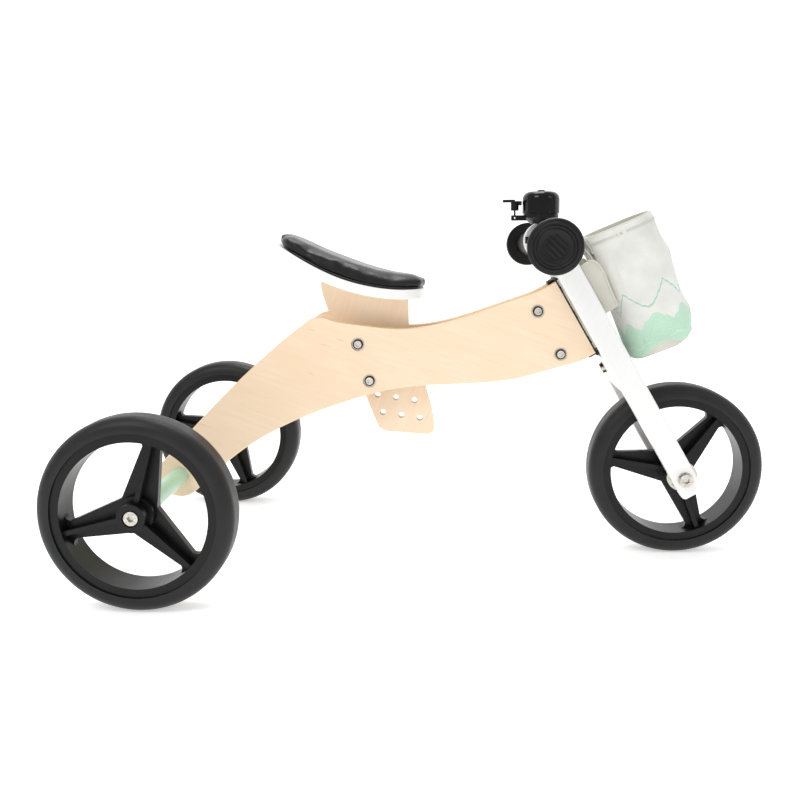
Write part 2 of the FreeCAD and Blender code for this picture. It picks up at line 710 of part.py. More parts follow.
def spoke(angle):
    """Flat web with a rib through it, leaving the hub at an angle above +X."""
    reach = ("bush_radius + 2", "barrel_radius + 2")
    web = wedge(("web_root / 2", "web_tip / 2"), ("web_thick / 2", "web_thick / 2"), reach)
    rib = wedge(("rib_wide / 2", "rib_wide / 2"), ("rib_root_half", "rib_tip_half"), reach)
    side = "(web_tip / 2 + web_fillet + 1.2)"
    start = f"sqrt((barrel_radius - web_fillet) ^ 2 - {side} ^ 2)"
    half = f"{side} * barrel_radius / (barrel_radius - web_fillet)"
    thick = ("-web_thick / 2", "web_thick / 2")
    foot = block((f"-{half}", half), (start, "barrel_radius + 2"), thick)
    hollows = [rod("web_fillet", thick, "z", (f"{sign}{side}", start)) for sign in ("-", "")]
    foot = group(cut(foot, *hollows))
    turn = Rotation(Vector(0, 1, 0), 90 - angle) * Rotation(Vector(1, 0, 0), 90)
    for piece in (web, rib, foot):
        piece.Placement = Placement(Vector(), turn)
    return [web, rib, foot]


def rim(first_angle):
    half = "rim_width / 2"
    barrel = tube("seat_radius", "barrel_radius", (f"-{half}", half))
    nose = rod("hub_radius", ("-hub_half", "hub_half"))
    boss = rod("boss_radius_hub", ("-boss_half_hub", "boss_half_hub"))
    spokes = [piece for i in range(3) for piece in spoke(first_angle + 120 * i)]
    solid = fuse(barrel, nose, boss, *spokes)
    bore = rod("bush_radius", ("-hub_half", "hub_half"))
    sinks = [rod("sink_radius", side_span(sign, "hub_half - sink_depth", "hub_half + 1"))
             for _, sign in SIDES]
    return cut(solid, bore, *sinks)


def bushes():
    end = "hub_half - sink_depth"
    return group(*[tube("bush_radius", "axle_radius + run_fit", side_span(sign, f"{end} - bush_length", end))
                   for _, sign in SIDES])


def build_wheels():
    for name, angle in SPOKE_ANGLES.items():
        wheel_place(node("tyre_" + name, tyre()), name)
        wheel_place(node("rim_" + name, rim(angle)), name)
        wheel_place(node("bushes_" + name, bushes()), name)


def cap_bolt(seat, sign, depth):
    """Axle bolt: socket head outside its seat, and a shank into the axle's end."""
    head = rod("cap_radius", side_span(sign, seat, f"{seat} + cap_high"))
    socket = hexagon("socket_radius + 1", side_span(sign, f"{seat} + 1.6", f"{seat} + cap_high + 1"), "y",
                     ("0", "0"))
    shank = rod("axle_radius / 2", side_span(sign, f"{seat} - {depth}", f"{seat} + 1"))
    return cut(fuse(head, shank), socket)


def build_rear_axle():
    hub_in = "track / 2 - hub_half"
    seat = "track / 2 + hub_half - sink_depth"
    inner = "tail_half - plate_thick"
    bore = "axle_radius + run_fit"
    taps = [rod("axle_radius / 2", side_span(sign, f"{seat} - 14.5", f"{seat} + 1")) for _, sign in SIDES]
    node("rear_axle", cut(rod("axle_radius", (f"-({seat} + 0.2)", f"{seat} + 0.2")), *taps), REAR)
    node("axle_tube_middle", tube("axle_tube_radius", bore, (f"-({inner})", inner)), REAR)
    for side, sign in SIDES:
        span = side_span(sign, "tail_half", f"{hub_in} - axle_gap")
        node("axle_tube_" + side, tube("axle_tube_radius", bore, span), REAR)
    gap = (f"{hub_in} - axle_gap + 0.1", f"{hub_in} - 0.2")
    washers = [tube("axle_tube_radius - 1", bore, side_span(sign, *gap)) for _, sign in SIDES]
    node("rear_axle_washers", group(*washers), REAR)
    node("rear_axle_bolts", group(*[cap_bolt(f"{seat} + 0.2", sign, "14") for _, sign in SIDES]), REAR)


# ---------------------------------------------------------------- fork and steering

def fork_leg(sign):
    y = side_span(sign, "leg_inner", "leg_inner + leg_thick")
    bar = block(("-leg_wide / 2", "leg_wide / 2"), y, ("-leg_foot", "bar_up"))
    foot = -size("leg_foot")
    half = size("leg_wide") / 2 - 0.5
    bar = rounded(bar, size("leg_round"), lambda m: abs(m.z - foot) < 0.1 and abs(m.x) > half)
    top = rod("boss_radius", y, "y", ("0", "bar_up"))
    solid = fuse(bar, top)
    faces = (size("leg_inner"), size("leg_inner") + size("leg_thick"))
    solid = rounded(solid, size("soft_round"), lambda m: min(abs(abs(m.y) - f) for f in faces) < 0.01)
    through = side_span(sign, "leg_inner - 1", "leg_inner + leg_thick + 1")
    return cut(solid, rod("axle_radius + run_fit", through), rod("bar_radius", through, "y", ("0", "bar_up")))


def crown(low, high):
    """Cross block between the legs, bored for the steering pin."""
    body = block(("-leg_wide / 2", "leg_wide / 2"), ("-leg_inner", "leg_inner"), (low, high))
    return cut(body, rod("pin_radius", (low, high), "z"))


def build_steering():
    crown_low = "wheel_radius + crown_gap"
    low_lug = "nose_low - lug_thick"
    high_lug = "nose_high + lug_thick"
    low_top = f"{low_lug} - thrust_thick - 2 * thrust_fit"
    high_bottom = f"{high_lug} + thrust_thick + 2 * thrust_fit"
    high_top = f"{high_bottom} + crown_thick_up"
    for side, sign in SIDES:
        node("fork_leg_" + side, fork_leg(sign), FORK)
    lock_bore = rod("bolt_radius", ("-leg_wide / 2", "-pin_radius"), "x", ("0", "lock_up"))
    node("crown_lower", cut(crown(crown_low, low_top), lock_bore), FORK)
    node("crown_upper", crown(high_bottom, high_top), FORK)

    face = "bracket_thick - nose_back"
    plate = block(("-nose_back", face), ("-nose_half", "nose_half"), (low_lug, high_lug))
    lugs = []
    for low, high in ((low_lug, "nose_low"), ("nose_high", high_lug)):
        lugs.append(block(("-nose_back - flange_long", "0"), ("-lug_radius", "lug_radius"), (low, high)))
        lugs.append(rod("lug_radius", (low, high), "z"))
    pin_bore = rod("pin_radius + run_fit", (low_lug, high_lug), "z")
    screw_ups = ("nose_low + 14", "(nose_low + nose_high) / 2", "nose_high - 14")
    holes = [rod("bolt_radius", ("-nose_back", face), "x", ("0", up)) for up in screw_ups]
    node("steering_bracket", cut(fuse(plate, *lugs), pin_bore, *holes), FORK)
    screws = []
    for up in screw_ups:
        shank = rod("bolt_radius", ("-nose_back - bracket_screw", f"{face} + 0.5"), "x", ("0", up))
        screws.append(fuse(shank, rod("head_radius - 1", (face, f"{face} + 2"), "x", ("0", up))))
    node("bracket_screws", group(*screws), FORK)

    head = rod("pin_radius + 3.5", (high_top, f"{high_top} + pin_head"), "z")
    nut_low = f"{crown_low} - pin_head"
    pin = rod("pin_radius", (f"{nut_low} - 1", f"{high_top} + 1"), "z")
    node("steering_pin", fuse(head, pin), FORK)
    nut = hexagon("pin_radius + 4", (nut_low, crown_low), "z", ("0", "0"))
    node("steering_nut", cut(nut, rod("pin_radius", (nut_low, crown_low), "z")), FORK)
    washers = [tube("lug_radius", "pin_radius + run_fit", span, "z") for span in (
        (f"{low_lug} - thrust_thick - thrust_fit", f"{low_lug} - thrust_fit"),
        (f"{high_lug} + thrust_fit", f"{high_lug} + thrust_fit + thrust_thick"))]
    node("steering_washers", group(*washers), FORK)

    face = "-leg_wide / 2"
    shank = rod("bolt_radius", (f"{face} - 1", "-pin_radius"), "x", ("0", "lock_up"))
    washer = rod("washer_radius", (f"{face} - washer_thick", face), "x", ("0", "lock_up"))
    seat = f"{face} - washer_thick"
    dome = rod("head_radius", (f"{seat} - head_high", seat), "x", ("0", "lock_up"))
    socket = hexagon("socket_radius", (f"{seat} - head_high - 1", f"{seat} - 1"), "x", ("0", "lock_up"))
    node("pin_lock_screw", cut(fuse(shank, washer, dome), socket), FORK)


def build_front_axle():
    outer = "leg_inner + leg_thick"
    bore = "axle_radius + run_fit"
    seat = f"{outer} + washer_thick"
    node("front_axle_washers", group(*[tube("cap_radius + 1.4", bore, side_span(sign, outer, seat))
                                       for _, sign in SIDES]), FORK)
    right = side_span(-1, seat, f"{seat} + cap_high")
    head = rod("cap_radius", right)
    recess = side_span(-1, f"{seat} + 1.6", f"{seat} + cap_high + 1")
    socket = hexagon("socket_radius + 1", recess, "y", ("0", "0"))
    shank = rod("axle_radius", (f"-({seat} + 0.5)", f"{seat} + cap_high - 1"))
    node("front_axle", cut(fuse(head, shank), socket), FORK)
    span = side_span(1, seat, f"{seat} + cap_high")
    node("front_axle_nut", cut(rod("cap_radius", span), rod("axle_radius", span)), FORK)
    disc = ("leg_inner - leg_disc_thick", "leg_inner")
    node("leg_washers", group(*[tube("leg_disc_radius", bore, side_span(sign, *disc))
                                for _, sign in SIDES]), FORK)
    sleeve = ("hub_half + 0.3", "leg_inner - leg_disc_thick")
    node("front_spacers", group(*[tube("front_sleeve_radius", bore, side_span(sign, *sleeve))
                                  for _, sign in SIDES]), FORK)


def swept(item, sign):
    """Turn a piece of the handlebar's end back about the bend."""
    bend = size("bar_straight") * sign
    pivot = Vector(0, bend, size("bar_up"))
    turn = Rotation(Vector(0, 0, 1), size("grip_sweep") * sign)
    return Placement(pivot, turn).multiply(Placement(-pivot, Rotation()))


def build_handlebar():
    at = ("0", "bar_up")
    hollow = "bar_radius - bar_wall"
    middle = ("-bar_straight", "bar_straight")
    outers, inners = [rod("bar_radius", middle, "y", at)], [rod(hollow, middle, "y", at)]
    for side, sign in SIDES:
        span = side_span(sign, "bar_straight", "grip_end - disc_thick + 2")
        for radius, bucket in (("bar_radius", outers), (hollow, inners)):
            ball = doc.addObject("Part::Sphere", "ball")
            bind(ball, "Radius", radius)
            put_at(ball, "0", side_span(sign, "bar_straight", "bar_straight")[0], "bar_up")
            bucket.append(ball)
            arm = group(rod(radius, span, "y", at))
            arm.Placement = swept(arm, sign)
            bucket.append(arm)
    node("handlebar", cut(fuse(*outers), fuse(*inners)), FORK)

    for side, sign in SIDES:
        body = rod("grip_radius", side_span(sign, "grip_end - grip_long", "grip_end - disc_thick"), "y", at)
        disc = rod("disc_radius", side_span(sign, "grip_end - disc_thick", "grip_end"), "y", at)
        outer_face = size("grip_end")
        disc = rounded(disc, 3.0, lambda m: abs(abs(m.y) - outer_face) < 0.01)
        collar = rod("grip_radius + 2.5", side_span(sign, "grip_end - grip_long", "grip_end - grip_long + 4"),
                     "y", at)
        sleeve = side_span(sign, "grip_end - grip_long - 1", "grip_end - disc_thick + 2")
        bore = rod("bar_radius", sleeve, "y", at)
        grip = group(cut(fuse(body, disc, collar), bore))
        grip.Placement = swept(grip, sign)
        node("grip_" + side, group(grip), FORK)


# ---------------------------------------------------------------- bell

def bell_frame(item):
    """The bell stands upright over the handlebar: its frame's origin is on the handlebar's axis."""
    put_at(item, "wheelbase / 2 - bar_up * sin(rake) - bell_back", "bell_side",
           "wheel_radius + bar_up * cos(rake)")
    return item


def build_bell():
    base_top = "bell_foot + bell_base_high"
    dome_low = f"{base_top} + 0.4"
    dome_top = f"{dome_low} + bell_high"
    half = "band_wide / 2"
    ring_at = ("bell_back", "0")
    band = rod("bar_radius + band_thick", (f"-{half}", half), "y", ring_at)
    post = block(("-5", "5"), (f"-{half}", half), ("0", "bell_foot"))
    ear = block(("-bar_radius - 7", "0"), (f"-{half}", half), ("-3", "5"))
    bore = rod("bar_radius", (f"-{half}", half), "y", ring_at)
    screw_bore = rod("1.5", ("-4", "6"), "z", ("-bar_radius - 3", "0"))
    bell_frame(node("bell_clamp", cut(fuse(band, post, ear), bore, screw_bore)))
    screw = fuse(rod("1.5", ("-4", "6"), "z", ("-bar_radius - 3", "0")),
                 rod("2.8", ("5", "7"), "z", ("-bar_radius - 3", "0")))
    bell_frame(node("bell_clamp_screw", screw))

    cup = cone("bell_radius * 0.55", "bell_radius - 1.2", ("bell_foot", "bell_foot + 7"))
    wall = rod("bell_radius - 1.2", ("bell_foot + 7", base_top), "z")
    stem = rod("3", (base_top, f"{dome_top} - bell_wall"), "z")
    lever_arm = block(("-bell_radius - 13", "-bell_radius + 6"), ("-3.5", "3.5"),
                      ("bell_foot + 4", "bell_foot + 10"))
    slot = block(("-bell_radius - 13", "-bell_radius - 5"), ("-1.8", "1.8"),
                 ("bell_foot + 4", "bell_foot + 11"))
    pivot = ("-bell_radius - 9", "bell_foot + 7")
    pin_bore = rod("1", ("-3.5", "3.5"), "y", pivot)
    bell_frame(node("bell_base", cut(fuse(cup, wall, stem, lever_arm), slot, pin_bore)))
    bell_frame(node("bell_pivot_pin", rod("1", ("-3.5", "3.5"), "y", pivot)))

    outer = rod("bell_radius", (dome_low, dome_top), "z")
    doc.recompute()
    crest = outer.Shape.BoundBox.ZMax
    outer = rounded(outer, size("bell_round"), lambda m: abs(m.z - crest) < 0.01)
    inner = rod("bell_radius - bell_wall", (dome_low, f"{dome_top} - bell_wall"), "z")
    doc.recompute()
    ceiling = inner.Shape.BoundBox.ZMax
    inner = rounded(inner, size("bell_round") - size("bell_wall"), lambda m: abs(m.z - ceiling) < 0.01)
    screw_hole = rod("1.6", (dome_low, f"{dome_top} + 1"), "z")
    bell_frame(node("bell_dome", cut(outer, inner, screw_hole)))
    cap = cone("5.2", "4.0", (dome_top, f"{dome_top} + 1.8"))
    thread = rod("1.6", (f"{dome_top} - bell_wall", f"{dome_top} + 0.5"), "z")
    bell_frame(node("bell_cap_screw", fuse(cap, thread)))

    hinge = tube("2.6", "1 + run_fit", ("-1.6", "1.6"), "y", pivot)
    x = "-bell_radius - 9"
    stem = block((f"{x} - 1", f"{x} + 1"), ("-1.6", "1.6"), ("bell_foot + 9.2", "bell_foot + 17"))
    body = rod("4.6", ("bell_foot + 15.5", "bell_foot + 26"), "z", (x, "0"))
    thumb = block((f"{x} - 14", f"{x}"), ("-4.5", "4.5"), ("bell_foot + 25", "bell_foot + 28"))
    striker = rod("2.6", (x, "-bell_radius - 1"), "x", ("0", "bell_foot + 24"))
    bell_frame(node("bell_lever", fuse(hinge, stem, body, thumb, striker)))


# ---------------------------------------------------------------- bag

def build_bag():
    shell = cone("bag_foot_radius", "bag_rim_radius", ("0", "bag_high"))
    hollow = cone("bag_foot_radius - bag_wall", "bag_rim_radius - bag_wall", ("bag_wall", "bag_high"))
    body = group(cut(shell, hollow))
    body.Placement = Placement(Vector(), Rotation(Vector(0, 1, 0), size("bag_lean")))
    bind(body, "Placement.Rotation.Angle", "bag_lean")
    put_at(body, "bag_out", "0", "bag_up")
    node("bag_body", group(body), FORK)

    outer = "bar_radius + strap_fit + strap_thick"
    rim_back = "bag_out + bag_high * sin(bag_lean) - bag_rim_radius * cos(bag_lean)"
    straps = []
    for _, sign in SIDES:
        y = side_span(sign, "strap_side - strap_wide / 2", "strap_side + strap_wide / 2")
        loop = rod(outer, y, "y", ("0", "bar_up"))
        tail = block(("0", f"{rim_back} - 1.5"), y, (f"bar_up - {outer}", f"bar_up - {outer} + strap_thick"))
        hole = rod("bar_radius + strap_fit", y, "y", ("0", "bar_up"))
        straps.append(cut(fuse(loop, tail), hole))
    node("bag_straps", group(*straps), FORK)


# ---------------------------------------------------------------- build, check, write

build_frame()
build_seat()
build_wheels()
build_rear_axle()
build_steering()
build_front_axle()
build_handlebar()
build_bell()
build_bag()
doc.recompute()

failed = [item.Label for item in doc.Objects if {"Invalid", "Error"} & set(item.State)]
unsound = [item.Label for item in NODES if item.Shape.isNull() or not item.Shape.isValid()]
if failed or unsound:
    raise RuntimeError(f"failed features: {failed}, unsound shapes: {unsound}")

os.makedirs("parts", exist_ok=True)
for item in NODES:
    item.Shape.exportStep(os.path.join("parts", item.Label + ".step"))
print(len(NODES), "nodes,", sum(len(item.Shape.Solids) for item in NODES), "solids")
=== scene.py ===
import json
import math

import bmesh
import bpy
from mathutils import Matrix, Vector, noise


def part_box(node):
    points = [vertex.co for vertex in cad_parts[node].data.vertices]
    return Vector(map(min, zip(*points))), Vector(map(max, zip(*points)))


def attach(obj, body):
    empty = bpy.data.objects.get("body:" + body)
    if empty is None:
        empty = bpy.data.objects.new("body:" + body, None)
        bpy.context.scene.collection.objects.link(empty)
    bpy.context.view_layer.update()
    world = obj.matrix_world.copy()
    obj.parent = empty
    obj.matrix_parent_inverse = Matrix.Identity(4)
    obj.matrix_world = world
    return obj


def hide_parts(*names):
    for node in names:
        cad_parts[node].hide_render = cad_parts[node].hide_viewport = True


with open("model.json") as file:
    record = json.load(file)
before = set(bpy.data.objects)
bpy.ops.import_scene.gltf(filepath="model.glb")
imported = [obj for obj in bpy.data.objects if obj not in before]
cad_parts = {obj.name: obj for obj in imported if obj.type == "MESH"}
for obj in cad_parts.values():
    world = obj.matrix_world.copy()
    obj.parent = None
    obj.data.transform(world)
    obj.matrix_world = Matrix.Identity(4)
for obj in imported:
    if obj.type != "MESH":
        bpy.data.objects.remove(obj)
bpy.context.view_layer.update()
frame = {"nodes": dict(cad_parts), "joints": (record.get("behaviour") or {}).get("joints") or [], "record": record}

# Looks and soft parts of the children's tricycle. Lengths are in metres, and in millimetres where MM
# follows or a comment says so. The steered parts are placed in the fork's own frame: ahead of and up the
# steering axis, from the joint's own point.
MM = 0.001
STEERING = next(joint for joint in frame["joints"] if joint["name"] == "steering")
FORK_ORIGIN = Vector(STEERING["pos_m"])
UP_FORK = Vector(STEERING["axis"]).normalized()
LEFT = Vector((0, 1, 0))
AHEAD_FORK = LEFT.cross(UP_FORK)

# ---------------------------------------------------------------- materials

PLY_LAYER = 1.45 * MM
PLATE_THICK = 10 * MM
# Shares of a plate's length where its bend ends at the tail and at the nose.
TAIL_SHARE, NOSE_SHARE = 0.17, 0.82
CANVAS_PITCH = 0.42 * MM
WEBBING_PITCH = 0.6 * MM


def srgb(red, green, blue):
    """Linear colour of an 8-bit screen colour."""
    def linear(value):
        value /= 255
        return value / 12.92 if value <= 0.04045 else ((value + 0.055) / 1.055) ** 2.4
    return (linear(red), linear(green), linear(blue), 1)


class Look:
    """A node material: short helpers around the Principled shader."""

    def __init__(self, name, **fixed):
        self.material = bpy.data.materials.new(name)
        self.material.use_nodes = True
        self.tree = self.material.node_tree
        self.shader = self.tree.nodes["Principled BSDF"]
        self.coords = self.tree.nodes.new("ShaderNodeTexCoord")
        for socket, value in fixed.items():
            self.shader.inputs[socket.replace("_", " ")].default_value = value

    def add(self, kind, inputs=(), **settings):
        """A node with settings, its inputs given as values or as sockets to link."""
        made = self.tree.nodes.new("ShaderNode" + kind)
        for name, value in settings.items():
            setattr(made, name, value)
        for key, value in dict(inputs).items():
            self.feed(made.inputs[key], value)
        return made

    def feed(self, socket, value):
        """Links a socket, or sets it to a value."""
        if isinstance(value, bpy.types.NodeSocket):
            self.tree.links.new(value, socket)
        else:
            socket.default_value = value

    def math(self, operation, *values):
        """The result of a math node on values or sockets."""
        made = self.add("Math", operation=operation)
        for socket, value in zip(made.inputs, values):
            self.feed(socket, value)
        return made.outputs[0]

    def place(self, scale=(1, 1, 1), turn=(0, 0, 0)):
        """Object coordinates, turned and then stretched."""
        turned = self.add("Mapping", {"Vector": self.coords.outputs["Object"], "Rotation": turn})
        return self.add("Mapping", {"Vector": turned.outputs[0], "Scale": scale}).outputs[0]

    def noise(self, where, scale, detail=3.0, rough=0.5):
        """Fractal noise, about 0 to 1."""
        made = self.add("TexNoise", {"Vector": where, "Scale": scale, "Detail": detail, "Roughness": rough})
        return made.outputs[0]

    def spread(self, value, low, high, to_low=0.0, to_high=1.0, smooth=False):
        """A value mapped from one range to another and clamped there."""
        made = self.add("MapRange", {"Value": value, "From Min": low, "From Max": high,
                                     "To Min": to_low, "To Max": to_high})
        if smooth:
            made.interpolation_type = "SMOOTHSTEP"
        return made.outputs[0]

    def mix(self, share, first, second):
        """A blend of two colours."""
        made = self.add("Mix", data_type="RGBA")
        self.feed(made.inputs["Factor"], share)
        self.feed(made.inputs[6], first)
        self.feed(made.inputs[7], second)
        return made.outputs[2]

    def colour(self, value):
        self.feed(self.shader.inputs["Base Color"], value)

    def rough(self, value):
        self.feed(self.shader.inputs["Roughness"], value)

    def bump(self, height, depth, strength=1.0):
        """Relief in the shading, on top of any set before."""
        made = self.add("Bump", {"Height": height, "Distance": depth, "Strength": strength})
        previous = self.shader.inputs["Normal"].links
        if previous:
            self.tree.links.new(previous[0].from_socket, made.inputs["Normal"])
        self.tree.links.new(made.outputs[0], self.shader.inputs["Normal"])

    def facing(self, axis, low, high):
        """1 where the surface faces along an object axis, either way."""
        parts = self.add("SeparateXYZ", {"Vector": self.coords.outputs["Normal"]})
        return self.spread(self.math("ABSOLUTE", parts.outputs[axis]), low, high)


def speckled(name, dark, light, rough, spread=0.06, grain=900.0, depth=0.00005, **fixed):
    """Moulded or painted surface: mottled colour, uneven gloss and a fine grain."""
    look = Look(name, **fixed)
    where = look.coords.outputs["Object"]
    patches = look.noise(where, 38.0, 4.0, 0.6)
    fine = look.noise(where, grain, 2.0)
    look.colour(look.mix(look.spread(patches, 0.3, 0.7), dark, light))
    look.rough(look.spread(patches, 0.3, 0.75, rough - spread, rough + spread))
    look.bump(fine, depth)
    return look.material


def birch(name, grain_turn, bend=None):
    """Clear-lacquered birch plywood: long fine grain on the faces, glued layers on the edges."""
    look = Look(name, Coat_Weight=0.18, Coat_Roughness=0.3)
    along = look.place((5.0, 40.0, 75.0), (0, grain_turn, 0))
    fibres = look.noise(along, 4.2, 6.0, 0.62)
    clouds = look.noise(look.place((3.0, 6.0, 9.0), (0, grain_turn, 0)), 2.2, 3.0)
    streaks = look.noise(look.place((8.0, 30.0, 150.0), (0, grain_turn, 0)), 2.6, 2.0, 0.4)
    face = look.mix(look.spread(fibres, 0.25, 0.75), srgb(243, 216, 184), srgb(249, 228, 202))
    face = look.mix(look.spread(clouds, 0.4, 0.75, 0.0, 0.45), face, srgb(238, 206, 168))
    marks = look.math("MULTIPLY", look.spread(streaks, 0.7, 0.75), look.spread(clouds, 0.45, 0.6))
    face = look.mix(look.math("MULTIPLY", marks, 0.4), face, srgb(182, 142, 100))

    place = look.add("SeparateXYZ", {"Vector": look.coords.outputs["Object"]})
    depth = look.math("ABSOLUTE", place.outputs["Y"])
    if bend:
        tail_x, tail_y, nose_x, nose_y = bend
        middle = look.spread(place.outputs["X"], tail_x, nose_x, tail_y, nose_y, smooth=True)
        depth = look.math("SUBTRACT", depth, middle)
    # The shift keeps the value positive.
    layer = look.math("PINGPONG", look.math("ADD", depth, 0.1), PLY_LAYER)
    layer = look.spread(layer, 0.5 * MM, 0.95 * MM)
    pores = look.noise(look.place((160.0, 900.0, 160.0)), 3.0, 2.0)
    edge = look.mix(layer, srgb(238, 209, 164), srgb(214, 176, 124))
    edge = look.mix(look.spread(pores, 0.5, 0.8, 0.0, 0.35), edge, srgb(190, 150, 102))
    is_face = look.facing("Y", 0.62, 0.8)
    look.colour(look.mix(is_face, edge, face))
    look.rough(look.spread(fibres, 0.2, 0.8, 0.5, 0.38))
    look.bump(fibres, 0.00009, 0.6)
    return look.material


def solid_wood(name):
    """Head block: end and side grain of a softer wood."""
    look = Look(name, Coat_Weight=0.12, Coat_Roughness=0.35)
    grain = look.noise(look.place((8.0, 60.0, 60.0), (0, math.radians(28), 0)), 3.0, 5.0, 0.6)
    look.colour(look.mix(look.spread(grain, 0.3, 0.7), srgb(226, 192, 142), srgb(242, 215, 172)))
    look.rough(look.spread(grain, 0.3, 0.7, 0.55, 0.42))
    look.bump(grain, 0.0001, 0.5)
    return look.material


def painted(name, dark, light, rough=0.34):
    """Paint on wood: the grain stands through faintly."""
    look = Look(name, Coat_Weight=0.25, Coat_Roughness=0.18)
    grain = look.noise(look.place((6.0, 60.0, 60.0), (0, math.radians(60), 0)), 4.0, 4.0, 0.55)
    orange_peel = look.noise(look.coords.outputs["Object"], 420.0, 2.0)
    look.colour(look.mix(look.spread(grain, 0.3, 0.7), dark, light))
    look.rough(look.spread(grain, 0.25, 0.75, rough - 0.05, rough + 0.05))
    look.bump(grain, 0.00005, 0.5)
    look.bump(orange_peel, 0.00004, 0.5)
    return look.material


def turned_steel(name, bright, dark, sides=None):
    """Zinc-plated steel: fine turning marks, slight blotches, and on the screw heads painted shade of their
    counterbores, a dark brown on the sides.
    """
    look = Look(name, Metallic=1.0)
    where = look.coords.outputs["Object"]
    blotches = look.noise(where, 300.0, 3.0)
    marks = look.noise(look.place((2600.0, 300.0, 2600.0)), 1.0, 2.0)
    colour = look.mix(look.spread(blotches, 0.3, 0.7), dark, bright)
    # Painted shade: the screw heads' sides take a dark brown that stands in for the shadow in their counterbores.
    if sides:
        colour = look.mix(look.facing("Y", 0.9, 0.97), sides, colour)
    look.colour(colour)
    look.rough(look.spread(blotches, 0.3, 0.7, 0.22, 0.36))
    look.bump(marks, 0.00003, 0.5)
    return look.material


def leatherette(name):
    """Glossy black coated fabric with a fine pebble grain."""
    look = Look(name, Specular_IOR_Level=0.3, Coat_Weight=0.12, Coat_Roughness=0.12)
    where = look.coords.outputs["Object"]
    pebbles = look.add("TexVoronoi", {"Vector": where, "Scale": 620.0}, feature="DISTANCE_TO_EDGE")
    creases = look.noise(where, 60.0, 4.0, 0.6)
    look.colour(look.mix(look.spread(creases, 0.35, 0.7), srgb(8, 8, 9), srgb(16, 16, 17)))
    look.rough(look.spread(creases, 0.3, 0.7, 0.27, 0.38))
    look.bump(look.spread(pebbles.outputs["Distance"], 0.0, 0.12), 0.00007, 0.7)
    look.bump(creases, 0.0002, 0.3)
    return look.material


def weave(look, across, along, pitch):
    """Height of a plain weave from two coordinates in metres."""
    threads = [look.math("PINGPONG", value, pitch) for value in (across, along)]
    steps = [look.math("PINGPONG", value, 2 * pitch) for value in (across, along)]
    steps = [look.math("GREATER_THAN", step, pitch) for step in steps]
    checks = look.math("ABSOLUTE", look.math("SUBTRACT", *steps))
    over = look.math("MULTIPLY", threads[0], checks)
    under = look.math("MULTIPLY", threads[1], look.math("SUBTRACT", 1.0, checks))
    return look.spread(look.math("ADD", over, under), 0.0, pitch)


def zigzag(look, across, low, wide, narrow, shift, steep):
    """Height of a line that climbs and falls, a large zigzag with a small one on it."""
    large = look.math("PINGPONG", look.math("ADD", across, shift), wide)
    small = look.math("PINGPONG", look.math("ADD", across, 2.3 * shift), narrow)
    both = look.math("ADD", look.math("MULTIPLY", large, steep), look.math("MULTIPLY", small, 0.5))
    return look.math("ADD", both, low)


def near_line(look, up, line, full, gone, strength):
    """Strength on a line, fading out between two distances from it."""
    distance = look.math("ABSOLUTE", look.math("SUBTRACT", up, line))
    return look.spread(distance, full, gone, strength, 0.0)


def print_zigzags(look, cloth, across, up, slubs):
    """A plain zigzag line over a filled zigzag band, with a pale line along its foot."""
    ridge = zigzag(look, across, 50 * MM, 20 * MM, 2.6 * MM, 9 * MM, 1.15)
    band = zigzag(look, across, 27 * MM, 16 * MM, 4.5 * MM, 16 * MM, 0.85)
    foot = zigzag(look, across, 7 * MM, 14 * MM, 3 * MM, 3 * MM, 0.35)
    in_band = look.spread(look.math("SUBTRACT", band, up), 0.0, 0.3 * MM)
    mint = look.mix(look.spread(slubs, 0.3, 0.7), srgb(182, 218, 193), srgb(193, 226, 203))
    cloth = look.mix(in_band, cloth, mint)
    on_ridge = near_line(look, up, ridge, 1.0 * MM, 1.35 * MM, 1.0)
    cloth = look.mix(on_ridge, cloth, srgb(168, 205, 184))
    on_foot = near_line(look, up, foot, 0.3 * MM, 0.6 * MM, 0.75)
    return look.mix(on_foot, cloth, srgb(226, 240, 228))


def canvas(name, base, slub_and_shade_tone, printed):
    """Woven cotton, plain or printed, with painted shade in the dips of its broad relief."""
    look = Look(name, Sheen_Weight=0.25, Sheen_Roughness=0.6)
    place = look.add("SeparateXYZ", {"Vector": look.add("UVMap").outputs[0]})
    across, up = place.outputs["X"], place.outputs["Y"]
    slubs = look.noise(look.add("UVMap").outputs[0], 420.0, 3.0)
    shade = look.noise(look.coords.outputs["Object"], 34.0, 3.0)
    threads = weave(look, across, up, CANVAS_PITCH)
    # Painted shade: the cloth turns towards the darker colour where the broad relief from this noise sinks.
    cloth = look.mix(look.spread(shade, 0.3, 0.75), slub_and_shade_tone, base)
    cloth = look.mix(look.spread(slubs, 0.45, 0.8, 0.0, 0.25), cloth, slub_and_shade_tone)
    if printed:
        cloth = print_zigzags(look, cloth, across, up, slubs)
    look.colour(cloth)
    look.rough(look.spread(threads, 0.0, 1.0, 0.92, 0.8))
    look.bump(threads, 0.00012, 0.7)
    look.bump(shade, 0.0012, 0.35)
    return look.material


def webbing(name):
    """Coarse cotton webbing, with painted shade where the weave sits low."""
    look = Look(name, Sheen_Weight=0.3, Sheen_Roughness=0.5)
    place = look.add("SeparateXYZ", {"Vector": look.coords.outputs["Object"]})
    threads = weave(look, place.outputs["Y"], place.outputs["Z"], WEBBING_PITCH)
    # Painted shade: the webbing is darker where the weave's relief sits low, between the threads.
    look.colour(look.mix(threads, srgb(196, 196, 186), srgb(222, 222, 214)))
    look.rough(look.spread(threads, 0.0, 1.0, 0.9, 0.75))
    look.bump(threads, 0.0002, 0.8)
    return look.material


def plate_bend(node):
    """Where the plates' middles run: at the tail and at the nose."""
    low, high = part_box(node)
    length = high.x - low.x
    outer = max(abs(low.y), abs(high.y))
    inner = min(abs(low.y), abs(high.y))
    half = PLATE_THICK / 2
    return (low.x + TAIL_SHARE * length, outer - half, low.x + NOSE_SHARE * length, inner + half)


